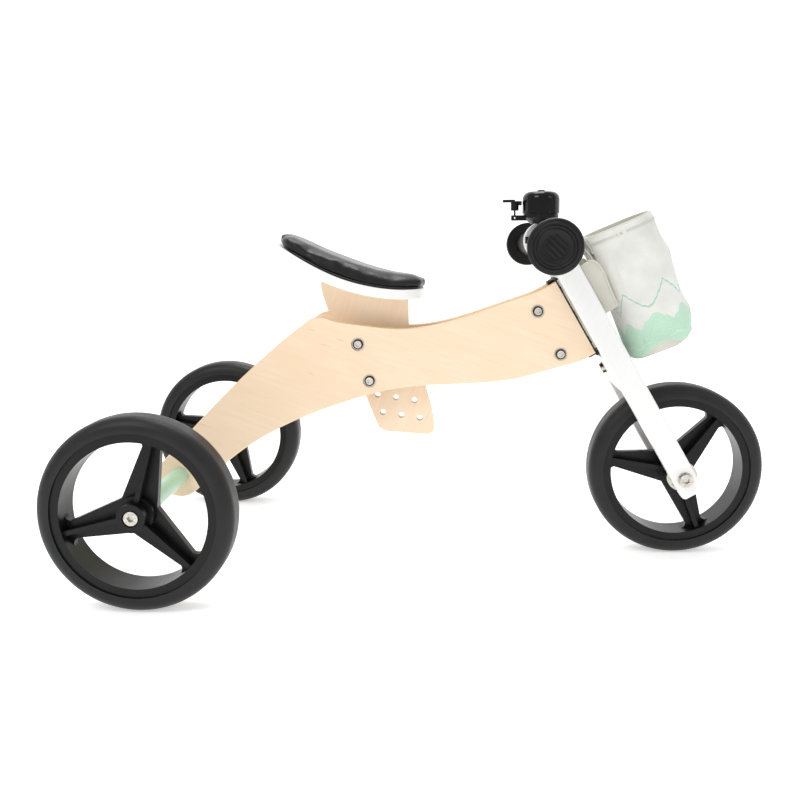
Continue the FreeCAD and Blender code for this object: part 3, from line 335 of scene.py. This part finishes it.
WHITE_DARK, WHITE_LIGHT = srgb(239, 239, 238), srgb(242, 242, 241)
MATERIALS = {
    "birch": birch("birch_plywood", math.radians(-20), plate_bend("side_plate_right")),
    "head": solid_wood("head_block_wood"),
    "post_ply": birch("post_plywood", math.radians(72)),
    "white_wood": painted("white_paint", WHITE_DARK, WHITE_LIGHT),
    "white_metal": speckled("white_powder_coat", WHITE_DARK, WHITE_LIGHT, 0.3),
    "black_metal": speckled("black_powder_coat", srgb(14, 14, 15), srgb(22, 22, 23), 0.45,
                            Specular_IOR_Level=0.3),
    "steel": turned_steel("zinc_steel", srgb(214, 211, 204), srgb(168, 163, 154)),
    # The third colour is painted shade: the dark brown on the heads' sides in their counterbores.
    "heads": turned_steel("screw_heads", srgb(224, 221, 214), srgb(186, 180, 170), srgb(70, 56, 42)),
    "tread": speckled("tyre_foam", srgb(19, 19, 21), srgb(29, 29, 31), 0.46, 0.07, 700.0, 0.0002,
                      Specular_IOR_Level=0.34),
    "rim": speckled("rim_plastic", srgb(10, 10, 11), srgb(17, 17, 18), 0.34, 0.05, 1200.0,
                    Specular_IOR_Level=0.26),
    "nylon": speckled("nylon", srgb(24, 24, 26), srgb(40, 40, 42), 0.42, Specular_IOR_Level=0.3),
    "mint": painted("mint_paint", srgb(160, 202, 172), srgb(176, 214, 186)),
    "grip": speckled("grip_rubber", srgb(12, 12, 13), srgb(20, 20, 21), 0.42, 0.06, 1500.0, 0.00012,
                     Specular_IOR_Level=0.28),
    "bell_shell": speckled("bell_gloss", srgb(7, 7, 8), srgb(12, 12, 13), 0.14, 0.04, 1200.0, 0.00002,
                           Specular_IOR_Level=0.3),
    "bell_plastic": speckled("bell_plastic", srgb(9, 9, 10), srgb(15, 15, 16), 0.3,
                             Specular_IOR_Level=0.25),
    "leatherette": leatherette("leatherette"),
    # The second colour of each canvas serves both the darker slubs and the painted shade in the cloth's dips.
    "canvas": canvas("printed_canvas", srgb(235, 236, 231), srgb(216, 217, 209), True),
    "plain_canvas": canvas("plain_canvas", srgb(217, 215, 204), srgb(200, 198, 186), False),
    "webbing": webbing("cotton_webbing"),
}
OTHER_LOOK = {"head_block": "head", "frame_bolts": "heads", "frame_nuts": "heads", "pin_lock_screw": "heads"}


def dress_frame():
    """Every carried-over CAD node takes the material of its slot in the record, or the one that OTHER_LOOK gives
    it.
    """
    slots = {entry["node"]: entry["material_slot"] for entry in frame["record"]["subparts"]}
    for name, shown in frame["nodes"].items():
        shown.data.materials.clear()
        shown.data.materials.append(MATERIALS[OTHER_LOOK.get(name, slots[name])])


# ---------------------------------------------------------------- meshes


def piece(name, verts, faces, body, looks, choose=None):
    """A new smooth mesh that rides on a body and takes its finish from a slot."""
    mesh = bpy.data.meshes.new(name)
    mesh.from_pydata([tuple(v) for v in verts], [], faces)
    mesh.validate()
    for look in looks:
        mesh.materials.append(MATERIALS[look])
    for i, face in enumerate(mesh.polygons):
        face.use_smooth = True
        face.material_index = choose(i) if choose else 0
    made = bpy.data.objects.new(name, mesh)
    bpy.context.scene.collection.objects.link(made)
    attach(made, body)
    return made


def outward(made):
    """Turns a piece's faces to look outward."""
    mesh = bmesh.new()
    mesh.from_mesh(made.data)
    bmesh.ops.recalc_face_normals(mesh, faces=mesh.faces)
    mesh.to_mesh(made.data)
    mesh.free()


def grid(rows, columns, around=True, first=0):
    """Quads between rows of points, closed round each row or open."""
    faces = []
    for i in range(rows - 1):
        for j in range(columns if around else columns - 1):
            a, b = first + i * columns + j, first + i * columns + (j + 1) % columns
            faces.append((a, b, b + columns, a + columns))
    return faces


def tube(path, radius, sides=10, closed=False):
    """Points and faces of a round tube along a path."""
    verts = []
    count = len(path)
    for i, here in enumerate(path):
        before = path[i - 1] if closed or i else here
        after = path[(i + 1) % count] if closed or i < count - 1 else here
        run = (after - before).normalized()
        side = run.orthogonal().normalized() if i == 0 else (side - run * side.dot(run)).normalized()
        lift = run.cross(side)
        for k in range(sides):
            angle = 2 * math.pi * k / sides
            verts.append(here + (side * math.cos(angle) + lift * math.sin(angle)) * radius)
    faces = grid(count, sides)
    if closed:
        last = (count - 1) * sides
        faces += [(last + k, last + (k + 1) % sides, (k + 1) % sides, k) for k in range(sides)]
    else:
        faces += [tuple(range(sides)), tuple(range((count - 1) * sides, count * sides))]
    return verts, faces


def smooth_path(points, step):
    """A Catmull-Rom curve through points, cut into steps of about one length."""
    path = []
    for i in range(len(points) - 1):
        a, b, c, d = (points[max(0, min(len(points) - 1, i + k))] for k in (-1, 0, 1, 2))
        count = max(2, round((c - b).length / step))
        for k in range(count):
            t = k / count
            path.append(0.5 * (2 * b + (c - a) * t + (2 * a - 5 * b + 4 * c - d) * t * t
                               + (3 * b - a - 3 * c + d) * t ** 3))
    return path + [points[-1]]


def fork_point(ahead, side, up):
    """A point of the fork's own frame, in the world."""
    return FORK_ORIGIN + AHEAD_FORK * ahead + LEFT * side + UP_FORK * up


# ---------------------------------------------------------------- seat cushion

PAD_NARROW = 0.97
# The solid's ends are drawn out first, because remeshing and smoothing round them off.
REAR_REACH = Vector((-4.5, 0, 2.9)) * MM
FRONT_REACH = Vector((4.5, 0, 0.0)) * MM
# The top sinks by PUFF_ROOM before it is blown up, less so towards the ends.
PUFF_ROOM = 6 * MM
REAR_HELD, FRONT_HELD = 0.55, 1.1
PUFF_CAP = 4 * MM
TOP_NORMAL = 0.6
UNDERSIDE_NORMAL = -0.35
VOXEL = 4 * MM
PRESSURE = 4.0
CLOTH_FRAMES = 20
WELT_RADIUS = 1.2 * MM
WELT_STEP = 3 * MM
WELT_SIDES = 8
WELT_SMOOTHING = 4


def corner_key(corner):
    """A point rounded to a micrometre, so that corners in one place compare equal."""
    return tuple(round(value, 6) for value in corner)


def shrink_pad(mesh, low, high):
    """Makes room for the puff in the pad's solid."""
    middle, half = (low + high) / 2, (high - low) / 2
    for vertex in mesh.vertices:
        share = (vertex.co.x - middle.x) / half.x
        vertex.co.y *= PAD_NARROW
        reach = REAR_REACH if share < 0 else FRONT_REACH
        vertex.co += reach * abs(share) ** 3
    upper = set()
    for polygon in mesh.polygons:
        if polygon.normal.z > TOP_NORMAL:
            upper.update(corner_key(mesh.vertices[i].co) for i in polygon.vertices)
    for vertex in mesh.vertices:
        if corner_key(vertex.co) in upper:
            share = (vertex.co.x - middle.x) / half.x
            held = min(1, abs(share) ** 2.5) * (REAR_HELD if share < 0 else FRONT_HELD)
            vertex.co.z -= PUFF_ROOM * (1 - held)


def apply_modifier(made, kind, **settings):
    """Adds a modifier to an object and applies it."""
    modifier = made.modifiers.new(kind.lower(), kind)
    for key, value in settings.items():
        setattr(modifier, key, value)
    bpy.context.view_layer.objects.active = made
    bpy.ops.object.modifier_apply(modifier=modifier.name)


def blow_up(cushion):
    """Cloth under pressure, its underside held on the board, and no point moved past the cap."""
    under = [v.index for v in cushion.data.vertices if v.normal.z < UNDERSIDE_NORMAL]
    pins = cushion.vertex_groups.new(name="on_board")
    pins.add(under, 1.0, "REPLACE")
    start = [v.co.copy() for v in cushion.data.vertices]
    cloth = cushion.modifiers.new("cloth", "CLOTH")
    cloth.settings.use_pressure = True
    cloth.settings.uniform_pressure_force = PRESSURE
    cloth.settings.effector_weights.gravity = 0.0
    cloth.settings.vertex_group_mass = "on_board"
    cloth.point_cache.frame_start = 1
    cloth.point_cache.frame_end = CLOTH_FRAMES
    for number in range(1, CLOTH_FRAMES + 1):
        bpy.context.scene.frame_set(number)
    bpy.context.view_layer.objects.active = cushion
    bpy.ops.object.modifier_apply(modifier="cloth")
    for vertex, before in zip(cushion.data.vertices, start):
        move = vertex.co - before
        if move.length > PUFF_CAP:
            vertex.co = before + move.normalized() * PUFF_CAP
    cushion.vertex_groups.clear()


def build_cushion():
    """The saddle's pad: its CAD solid shrunk, then blown up as cloth on the board."""
    mesh = frame["nodes"]["seat_pad"].data.copy()
    cushion = bpy.data.objects.new("seat_cushion", mesh)
    bpy.context.scene.collection.objects.link(cushion)
    shrink_pad(mesh, *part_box("seat_pad"))
    mesh.materials.clear()
    mesh.materials.append(MATERIALS["leatherette"])
    apply_modifier(cushion, "REMESH", mode="VOXEL", voxel_size=VOXEL, use_smooth_shade=True)
    apply_modifier(cushion, "SMOOTH", factor=0.5, iterations=4)
    blow_up(cushion)
    apply_modifier(cushion, "SMOOTH", factor=0.5, iterations=7)
    apply_modifier(cushion, "SUBSURF", levels=1)
    for face in cushion.data.polygons:
        face.use_smooth = True
    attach(cushion, "frame")
    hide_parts("seat_pad")


def pad_outline():
    """Corners round the underside of the pad's solid, in order."""
    mesh = frame["nodes"]["seat_pad"].data
    low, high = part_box("seat_pad")
    middle = (low + high) / 2
    uses = {}
    for polygon in mesh.polygons:
        if polygon.normal.z > -0.3:
            continue
        corners = [corner_key(mesh.vertices[i].co) for i in polygon.vertices]
        for pair in zip(corners, corners[1:] + corners[:1]):
            edge = tuple(sorted(pair))
            uses[edge] = uses.get(edge, 0) + 1
    rim = {corner for edge, count in uses.items() if count == 1 for corner in edge}
    return sorted((Vector(corner) for corner in rim),
                  key=lambda corner: math.atan2(corner.y - middle.y, corner.x - middle.x))


def build_welt():
    """A thin welt round the pad's underside, on the board."""
    rim = pad_outline()
    path = []
    for here, after in zip(rim, rim[1:] + rim[:1]):
        count = max(1, round((after - here).length / WELT_STEP))
        path += [here.lerp(after, k / count) for k in range(count)]
    path = [point + Vector((0, 0, WELT_RADIUS)) for point in path]
    for _ in range(WELT_SMOOTHING):
        path = [(path[i - 1] + path[i] * 2 + path[(i + 1) % len(path)]) / 4 for i in range(len(path))]
    verts, faces = tube(path, WELT_RADIUS, WELT_SIDES, True)
    outward(piece("seat_welt", verts, faces, "frame", ["leatherette"]))


# ---------------------------------------------------------------- bag

BAG_BASE = (59 * MM, 137 * MM)
BAG_LEAN = math.radians(7.5)
BAG_HIGH = 146 * MM
BAG_HALF = 41 * MM
BAG_WALL = 2.2 * MM
BAG_COLUMNS = 144
WALL_ROWS = 56
LINING_ROWS = 24
# Parts of the shell.
WALL, PANEL, LINING = range(3)
# How much the plan of the bag's front and back is squared off: 2 would be an ellipse.
FRONT_POWER, BACK_POWER = 2.15, 3.4
# The turned hem, and the height over which its step rises.
HEM = 11 * MM
HEM_THICK = 0.9 * MM
HEM_RISE = 1.2 * MM
# Where the wall rides up from the base panel in a small fold.
TUCK_ANGLE = math.radians(268)
TUCK_WIDE = 0.4
TUCK_HIGH = 8 * MM
TUCK_REACH = 12 * MM
# Height up the bag and reach of its front from the middle, in mm: it bellies twice under its own weight.
BAG_FRONT = [(-1, 29), (5, 36.5), (14, 40.5), (29, 42.4), (51, 40),
             (73, 41.8), (100, 43.4), (121, 39.8), (146, 38)]
STITCHES = 96
STITCH_ROWS = (1.6 * MM, 3.4 * MM)
STITCH_OUT = 1.05
# A stitch's share of its pitch and its height over the cloth in mm, from end to end.
STITCH_RUN = ((0.0, 0.0), (0.2, 0.35), (0.5, 0.42), (0.62, 0.0))
THREAD_RADIUS = 0.32 * MM
THREAD_SIDES = 6


def bag_point(ahead, side, up):
    """A point of the bag's own upright frame."""
    n = BAG_BASE[0] + ahead * math.cos(BAG_LEAN) + up * math.sin(BAG_LEAN)
    s = BAG_BASE[1] - ahead * math.sin(BAG_LEAN) + up * math.cos(BAG_LEAN)
    return fork_point(n, side, s)


def bag_front(up):
    """Reach of the bag's front at a height."""
    up = min(max(up / MM, BAG_FRONT[0][0]), BAG_FRONT[-1][0])
    for (low, start), (high, end) in zip(BAG_FRONT, BAG_FRONT[1:]):
        if up <= high:
            t = (up - low) / (high - low)
            return (start + (end - start) * t * t * (3 - 2 * t)) * MM


def bag_skin(angle, up, inset):
    """A point of the bag's wall: round in front, squarer behind, with soft folds."""
    c, s = math.cos(angle), math.sin(angle)
    power = 2 / (FRONT_POWER if c > 0 else BACK_POWER)
    ahead = math.copysign(abs(c) ** power, c) * (bag_front(up) if c > 0 else BAG_HALF)
    side = math.copysign(abs(s) ** power, s) * BAG_HALF
    folds = noise.noise(Vector((c * 1.6, s * 1.6, up * 26))) * 2.4
    folds += noise.noise(Vector((c * 3.2 + up * 40, s * 3.2, up * 60 + 4))) * 1.1
    fade = min(1, max(0, (BAG_HIGH - up) / (22 * MM))) * min(1, max(0, up / (10 * MM)))
    swell = folds * fade * (1 if c > -0.4 else 0.35) * MM - inset
    reach = Vector((ahead, side)).length
    scale = (reach + swell) / reach
    return ahead * scale, side * scale


def shell_rows():
    """Rows of the shell, from the base panel's middle out, up the wall, over the hem, down the lining
    and in again: height in mm, share of the bag's reach, part, and inset in mm."""
    high = BAG_HIGH / MM
    rows = [(-2.4, share, PANEL, 0) for share in (0.03, 0.3, 0.6, 0.8, 0.9)]
    rows += [(-1.6, 0.95, PANEL, 0), (0.2, 0.965, PANEL, 0)]
    rows += [(-0.6 + (high + 0.6) * i / WALL_ROWS, 1.0, WALL, 0) for i in range(WALL_ROWS + 1)]
    rows += [(high + 1.1, 1.0, LINING, 1.0), (high + 1.1, 1.0, LINING, 2.0)]
    rows += [(high * (1 - i / LINING_ROWS), 1.0, LINING, BAG_WALL / MM + 0.9) for i in range(LINING_ROWS)]
    rows += [(3.5, share, LINING, 3.2) for share in (0.98, 0.9, 0.6, 0.3, 0.03)]
    return rows


def shell_point(angle, up, share, part, inset):
    """A point of one of the shell's rows, with the hem's step, the panel's sag and the wall's fold."""
    height = up * MM
    step = 0.0
    if part == WALL and height > BAG_HIGH - HEM:
        step = -HEM_THICK * min(1, (height - BAG_HIGH + HEM) / HEM_RISE)
    ahead, side = bag_skin(angle, height, inset * MM + step)
    sag = 0.0
    if part == PANEL:
        lumps = noise.noise(Vector((ahead * 40, side * 40, 7)))
        sag = -1.6 * MM * (1 - share) - 1.2 * MM * lumps
    if part == WALL and height < TUCK_REACH:
        tuck = TUCK_HIGH * math.exp(-((angle - TUCK_ANGLE) / TUCK_WIDE) ** 2)
        height += tuck * (1 - max(0, height) / TUCK_REACH)
    return bag_point(ahead * share, side * share, height + sag)


def build_bag():
    """One sewn shell: base panel, printed wall, turned hem and lining, open at the top."""
    rows = shell_rows()
    angles = [math.tau * j / BAG_COLUMNS for j in range(BAG_COLUMNS)]
    verts = [shell_point(angle, *row) for row in rows for angle in angles]
    sheet_place = [(angle * BAG_HALF, row[0] * MM) for row in rows for angle in angles]
    faces = grid(len(rows), BAG_COLUMNS)
    faces += [tuple(range(BAG_COLUMNS)), tuple(range((len(rows) - 1) * BAG_COLUMNS, len(verts)))]
    first_wall_row = [part for _, _, part, _ in rows].index(WALL)
    wall_from = first_wall_row * BAG_COLUMNS
    wall_to = (first_wall_row + WALL_ROWS) * BAG_COLUMNS

    def cloth(face):
        return 0 if wall_from <= face < wall_to else 1

    bag = piece("bag", verts, faces, "fork", ["canvas", "plain_canvas"], cloth)
    lay_cloth(bag, sheet_place)
    outward(bag)
    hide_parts("bag_body")


def lay_cloth(bag, sheet_place):
    """UVs in metres along the cloth, carried on past the seam where a face wraps round."""
    layer = bag.data.uv_layers.new(name="cloth")
    for polygon in bag.data.polygons:
        places = [sheet_place[i] for i in polygon.vertices]
        wraps = max(p[0] for p in places) > min(p[0] for p in places) + BAG_HALF
        for loop, (across, up) in zip(polygon.loop_indices, places):
            if wraps and across < BAG_HALF:
                across += math.tau * BAG_HALF
            layer.data[loop].uv = (across, up)


def build_stitches():
    """Two rows of thread under the turned hem."""
    verts, faces = [], []
    for row in STITCH_ROWS:
        up = BAG_HIGH - HEM + row
        for k in range(STITCHES):
            start = math.tau * k / STITCHES
            path = []
            for share, lift in STITCH_RUN:
                angle = start + math.tau / STITCHES * share
                ahead, side = bag_skin(angle, up, -(STITCH_OUT + lift) * MM)
                path.append(bag_point(ahead, side, up))
            more_verts, more_faces = tube(path, THREAD_RADIUS, THREAD_SIDES)
            faces += [tuple(i + len(verts) for i in face) for face in more_faces]
            verts += more_verts
    outward(piece("bag_stitches", verts, faces, "fork", ["plain_canvas"]))


# ---------------------------------------------------------------- tabs and straps

# Tab between a fork leg and the bag, in mm: up the fork, back edge, front edge.
TAB = [(266, 15, 24), (262, 14.6, 31.5), (248, 14.4, 34),
       (234, 14.4, 32.6), (220, 14.4, 31), (206, 14.4, 29.4)]
TAB_STEP = 3 * MM
TAB_COLUMNS = 10
TAB_THICK = 1.6 * MM
TAB_PUFF = 1.6 * MM
LEG_INNER = 47 * MM
PIPING_RADIUS = 1.2 * MM
PIPING_SIDES = 8
BAR_UP = 306 * MM
BAR_RADIUS = 11 * MM
STRAP_LOOP = BAR_RADIUS + 1.6 * MM
STRAP_WIDE = 16 * MM
STRAP_HALF = STRAP_WIDE / 2
STRAP_THICK = 1.7 * MM
STRAP_ROUND = 0.5 * MM
STRAP_STEP = 1.8 * MM
# The strap's run in mm ahead of and up the steering axis, on its way up to the bar and down again.
STRAP_RISE = [(30.5, 246), (32.6, 264), (29, 281), (18.5, 291.5)]
STRAP_FALL = [(24, 303), (33.5, 292), (36.5, 279), (35.8, 268)]
STRAP_FROM, STRAP_TO = math.radians(-52), math.radians(-372)
STRAP_TURN_STEPS = 12
# The strap's section: sides and edges in order, as a point across and a share of half the thickness.
STRAP_SECTION = [(-STRAP_HALF, -0.4), (-STRAP_HALF, 0.4),
                 (-STRAP_HALF + STRAP_ROUND, 1), (STRAP_HALF - STRAP_ROUND, 1),
                 (STRAP_HALF, 0.4), (STRAP_HALF, -0.4),
                 (STRAP_HALF - STRAP_ROUND, -1), (-STRAP_HALF + STRAP_ROUND, -1)]


def tab_edges():
    """Back and front edges of the tab, as pairs of points down two curves."""
    backs = smooth_path([Vector((back, 0, up)) * MM for up, back, _ in TAB], TAB_STEP)
    fronts = smooth_path([Vector((front, 0, up)) * MM for up, _, front in TAB], TAB_STEP)
    count = min(len(backs), len(fronts))
    pairs = []
    for i in range(count):
        pairs.append([edge[round(i * (len(edge) - 1) / (count - 1))] for edge in (backs, fronts)])
    return pairs


def tab_mesh(edges, sign):
    """Two curved sheets from the leg to the bag, joined round their border."""
    verts, faces = [], []
    for thick in (0.0, TAB_THICK):
        first = len(verts)
        for back, front in edges:
            for j in range(TAB_COLUMNS):
                t = j / (TAB_COLUMNS - 1)
                here = back.lerp(front, t)
                puff = math.sin(math.pi * t) * TAB_PUFF
                side = (LEG_INNER - 1.0 * MM) * (1 - t) + (BAG_HALF - 0.5 * MM) * t + puff - thick
                verts.append(fork_point(here.x, sign * side, here.z))
        faces += grid(len(edges), TAB_COLUMNS, False, first)
    half = len(verts) // 2
    border = [i * TAB_COLUMNS for i in range(len(edges))]
    border += [(len(edges) - 1) * TAB_COLUMNS + j for j in range(1, TAB_COLUMNS)]
    border += [i * TAB_COLUMNS + TAB_COLUMNS - 1 for i in range(len(edges) - 2, -1, -1)]
    border += list(range(TAB_COLUMNS - 2, 0, -1))
    for a, b in zip(border, border[1:] + border[:1]):
        faces.append((a, b, b + half, a + half))
    return verts, faces


def build_tabs():
    """Side tabs of plain canvas from the bag's back corners to the legs, edged with piping."""
    edges = tab_edges()
    for name, sign in (("right", -1), ("left", 1)):
        verts, faces = tab_mesh(edges, sign)
        tab = piece("bag_tab_" + name, verts, faces, "fork", ["plain_canvas"])
        layer = tab.data.uv_layers.new(name="cloth")
        for polygon in tab.data.polygons:
            for loop, index in zip(polygon.loop_indices, polygon.vertices):
                offset = tab.data.vertices[index].co - FORK_ORIGIN
                layer.data[loop].uv = (offset.dot(AHEAD_FORK), offset.dot(UP_FORK))
        outward(tab)
        line = [fork_point(front.x, sign * BAG_HALF, front.z) for _, front in edges]
        verts, faces = tube(line, PIPING_RADIUS, PIPING_SIDES)
        outward(piece("bag_piping_" + name, verts, faces, "fork", ["plain_canvas"]))


def strap_path():
    """Up the bag's back, once round the handlebar and down again, in the fork's plane."""
    ring = []
    for i in range(STRAP_TURN_STEPS + 1):
        angle = STRAP_FROM + (STRAP_TO - STRAP_FROM) * i / STRAP_TURN_STEPS
        ring.append(Vector((math.cos(angle) * STRAP_LOOP, 0, math.sin(angle) * STRAP_LOOP + BAR_UP)))
    rise = [Vector((ahead, 0, up)) * MM for ahead, up in STRAP_RISE]
    fall = [Vector((ahead, 0, up)) * MM for ahead, up in STRAP_FALL]
    return smooth_path(rise + ring + fall, STRAP_STEP)


def build_straps():
    """Two webbing loops from the bag's back over the handlebar."""
    path = strap_path()
    sides = len(STRAP_SECTION)
    for name, sign in (("right", -1), ("left", 1)):
        verts = []
        for i, here in enumerate(path):
            run = (path[min(i + 1, len(path) - 1)] - path[max(i - 1, 0)]).normalized()
            up = Vector((-run.z, 0, run.x)) * STRAP_THICK / 2
            for side, lift in STRAP_SECTION:
                point = here + up * lift
                verts.append(fork_point(point.x, sign * STRAP_WIDE + side, point.z))
        faces = grid(len(path), sides)
        faces += [tuple(range(sides)), tuple(range(len(verts) - sides, len(verts)))]
        strap = piece("bag_strap_" + name, verts, faces, "fork", ["webbing"])
        outward(strap)
    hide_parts("bag_straps")


# ---------------------------------------------------------------- grip ends

GRIP_SWEEP = math.radians(5.25)
GRIP_FACE = 24.2 * MM
GRIP_SIDES = 96
# Rings of the disc's face from the rim inward: radius, and height over the face in mm.
GRIP_RINGS = [(GRIP_FACE, 0.0), (GRIP_FACE - 0.7 * MM, 1.6), (22.4 * MM, 1.8), (21.6 * MM, 0.2),
              (21.0 * MM, 0.2), (20.2 * MM, 1.6), (19.3 * MM, 1.6), (18.5 * MM, 0.15), (17.9 * MM, 0.15),
              (17.1 * MM, 1.3), (16.3 * MM, 1.3), (15.0 * MM, 0.4), (8 * MM, 0.2), (0.4 * MM, 0.2)]
# Bars in mm: place across the face and half of the straight length.
BARS = ((-7.5, 7), (-2.5, 10), (2.5, 10), (7.5, 7))
BAR_HALF_WIDE = 1.5
BAR_END_STEPS = 8
# The bars' rows from the face up: share of the width, and height over the face in mm.
BAR_ROWS = ((1.0, 0.1), (1.0, 1.3), (0.55, 1.9))


def build_grip_ends():
    """Moulded face of each grip's disc: rings round four slanting bars."""
    for name, sign in (("right", -1), ("left", 1)):
        axis = (LEFT * sign * math.cos(GRIP_SWEEP) - AHEAD_FORK * math.sin(GRIP_SWEEP)).normalized()
        points = [v.co for v in frame["nodes"]["grip_" + name].data.vertices]
        reach = max(p.dot(axis) for p in points)
        face = [p for p in points if p.dot(axis) > reach - 0.05 * MM]
        centre = Vector([(min(p[k] for p in face) + max(p[k] for p in face)) / 2 for k in range(3)])
        right = (Vector((1, 0, 0)) - axis * axis.x).normalized()
        up = (Vector((0, 0, 1)) - axis * axis.z - right * right.z).normalized()
        verts = []
        for radius, height in GRIP_RINGS:
            for k in range(GRIP_SIDES):
                angle = math.tau * k / GRIP_SIDES
                verts.append(centre + (right * math.cos(angle) + up * math.sin(angle)) * radius
                             + axis * height * MM)
        faces = grid(len(GRIP_RINGS), GRIP_SIDES)
        faces.append(tuple(range(len(verts) - GRIP_SIDES, len(verts))))
        outward(piece("grip_face_" + name, verts, faces, "fork", ["grip"]))
        build_bars(name, centre, right, up, axis)


def bar_outline(half):
    """A bar's outline in mm: two straight sides and a half circle at each end."""
    outline = []
    for end in (1, -1):
        for k in range(BAR_END_STEPS + 1):
            angle = math.pi * (k / BAR_END_STEPS - 0.5)
            outline.append((end * (half + BAR_HALF_WIDE * math.cos(angle)),
                            end * BAR_HALF_WIDE * math.sin(angle)))
    return outline


def build_bars(name, centre, right, up, axis):
    """Four raised bars with rounded ends across a grip's face."""
    run = (right - up).normalized()
    side = (right + up).normalized()
    verts, faces = [], []
    for offset, half in BARS:
        first = len(verts)
        outline = bar_outline(half)
        for scale, height in BAR_ROWS:
            for along, across in outline:
                verts.append(centre + run * along * MM + side * (offset + across * scale) * MM
                             + axis * height * MM)
        faces += grid(len(BAR_ROWS), len(outline), True, first)
        faces.append(tuple(range(len(verts) - len(outline), len(verts))))
    outward(piece("grip_bars_" + name, verts, faces, "fork", ["grip"]))


# ---------------------------------------------------------------- studio and camera

STAGE_WIDE = 30.0
BACKDROP_Y = 1.8
BACKDROP_HIGH = 5.0
BEND_RADIUS = 1.0
BEND_STEPS = 12
FLOOR_DROP = 0.5 * MM
FLOOR_GLOW = 0.45
WORLD_GLOW = 0.6
LAMP_AIM = Vector((0, 0, 0.2))
# Lamps: name, place, size and power in watts.
LAMPS = (("key", (-0.9, -1.3, 1.7), 0.8, 12),
         ("fill", (1.6, -1.0, 1.3), 0.7, 3),
         ("top", (0.0, 0.5, 1.9), 0.8, 13))
CAMERA_PLACE = Vector((0.02658, -1.09435, 0.37135))
CAMERA_YAW = 0.05553
CAMERA_PITCH = 0.172422
CAMERA_ROLL = -0.009296
CAMERA_LENS = 42.08
CAMERA_SENSOR = 36


def floor_look():
    """Nearly white paper that glows a little, so that the surroundings stay white."""
    look = Look("studio_floor", Roughness=0.9)
    tone = look.noise(look.coords.outputs["Object"], 1.5, 2.0)
    look.colour(look.mix(tone, srgb(246, 246, 246), srgb(250, 250, 250)))
    look.shader.inputs["Emission Color"].default_value = (1, 1, 1, 1)
    look.shader.inputs["Emission Strength"].default_value = FLOOR_GLOW
    return look.material


def build_floor():
    """A floor that bends up into a wall behind the object."""
    profile = [(-STAGE_WIDE, 0.0), (BACKDROP_Y, 0.0)]
    for k in range(1, BEND_STEPS + 1):
        angle = math.pi / 2 * k / BEND_STEPS
        profile.append((BACKDROP_Y + BEND_RADIUS * math.sin(angle), BEND_RADIUS * (1 - math.cos(angle))))
    profile.append((BACKDROP_Y + BEND_RADIUS, BACKDROP_HIGH))
    verts = [(x, y, z - FLOOR_DROP) for y, z in profile for x in (-STAGE_WIDE, STAGE_WIDE)]
    faces = [(2 * i, 2 * i + 1, 2 * i + 3, 2 * i + 2) for i in range(len(profile) - 1)]
    mesh = bpy.data.meshes.new("floor")
    mesh.from_pydata(verts, [], faces)
    mesh.materials.append(floor_look())
    for face in mesh.polygons:
        face.use_smooth = True
    floor = bpy.data.objects.new("floor", mesh)
    bpy.context.scene.collection.objects.link(floor)


def build_lights():
    """An even white world and three soft lamps."""
    world = bpy.data.worlds.new("studio")
    world.use_nodes = True
    world.node_tree.nodes["Background"].inputs["Color"].default_value = (1, 1, 1, 1)
    world.node_tree.nodes["Background"].inputs["Strength"].default_value = WORLD_GLOW
    bpy.context.scene.world = world
    for name, place, size, power in LAMPS:
        light = bpy.data.lights.new(name, "AREA")
        light.size = size
        light.energy = power
        lamp = bpy.data.objects.new(name, light)
        lamp.location = place
        lamp.rotation_euler = (LAMP_AIM - lamp.location).to_track_quat("-Z", "Y").to_euler()
        bpy.context.scene.collection.objects.link(lamp)
    bpy.context.scene.view_settings.view_transform = "Standard"


def build_camera():
    """The photograph's viewpoint."""
    data = bpy.data.cameras.new("camera")
    data.lens = CAMERA_LENS
    data.sensor_width = CAMERA_SENSOR
    camera = bpy.data.objects.new("camera", data)
    bpy.context.scene.collection.objects.link(camera)
    level = Vector((-math.sin(CAMERA_YAW), math.cos(CAMERA_YAW), 0))
    right = Vector((math.cos(CAMERA_YAW), math.sin(CAMERA_YAW), 0))
    top = Vector((0, 0, 1))
    gaze = level * math.cos(CAMERA_PITCH) - top * math.sin(CAMERA_PITCH)
    up = level * math.sin(CAMERA_PITCH) + top * math.cos(CAMERA_PITCH)
    rolled = right * math.cos(CAMERA_ROLL) + up * math.sin(CAMERA_ROLL)
    up = up * math.cos(CAMERA_ROLL) - right * math.sin(CAMERA_ROLL)
    turn = Matrix((rolled, up, -gaze)).transposed().to_4x4()
    turn.translation = CAMERA_PLACE
    camera.matrix_world = turn
    bpy.context.scene.camera = camera


dress_frame()
build_cushion()
build_welt()
build_bag()
build_stitches()
build_tabs()
build_straps()
build_grip_ends()
build_floor()
build_lights()
build_camera()
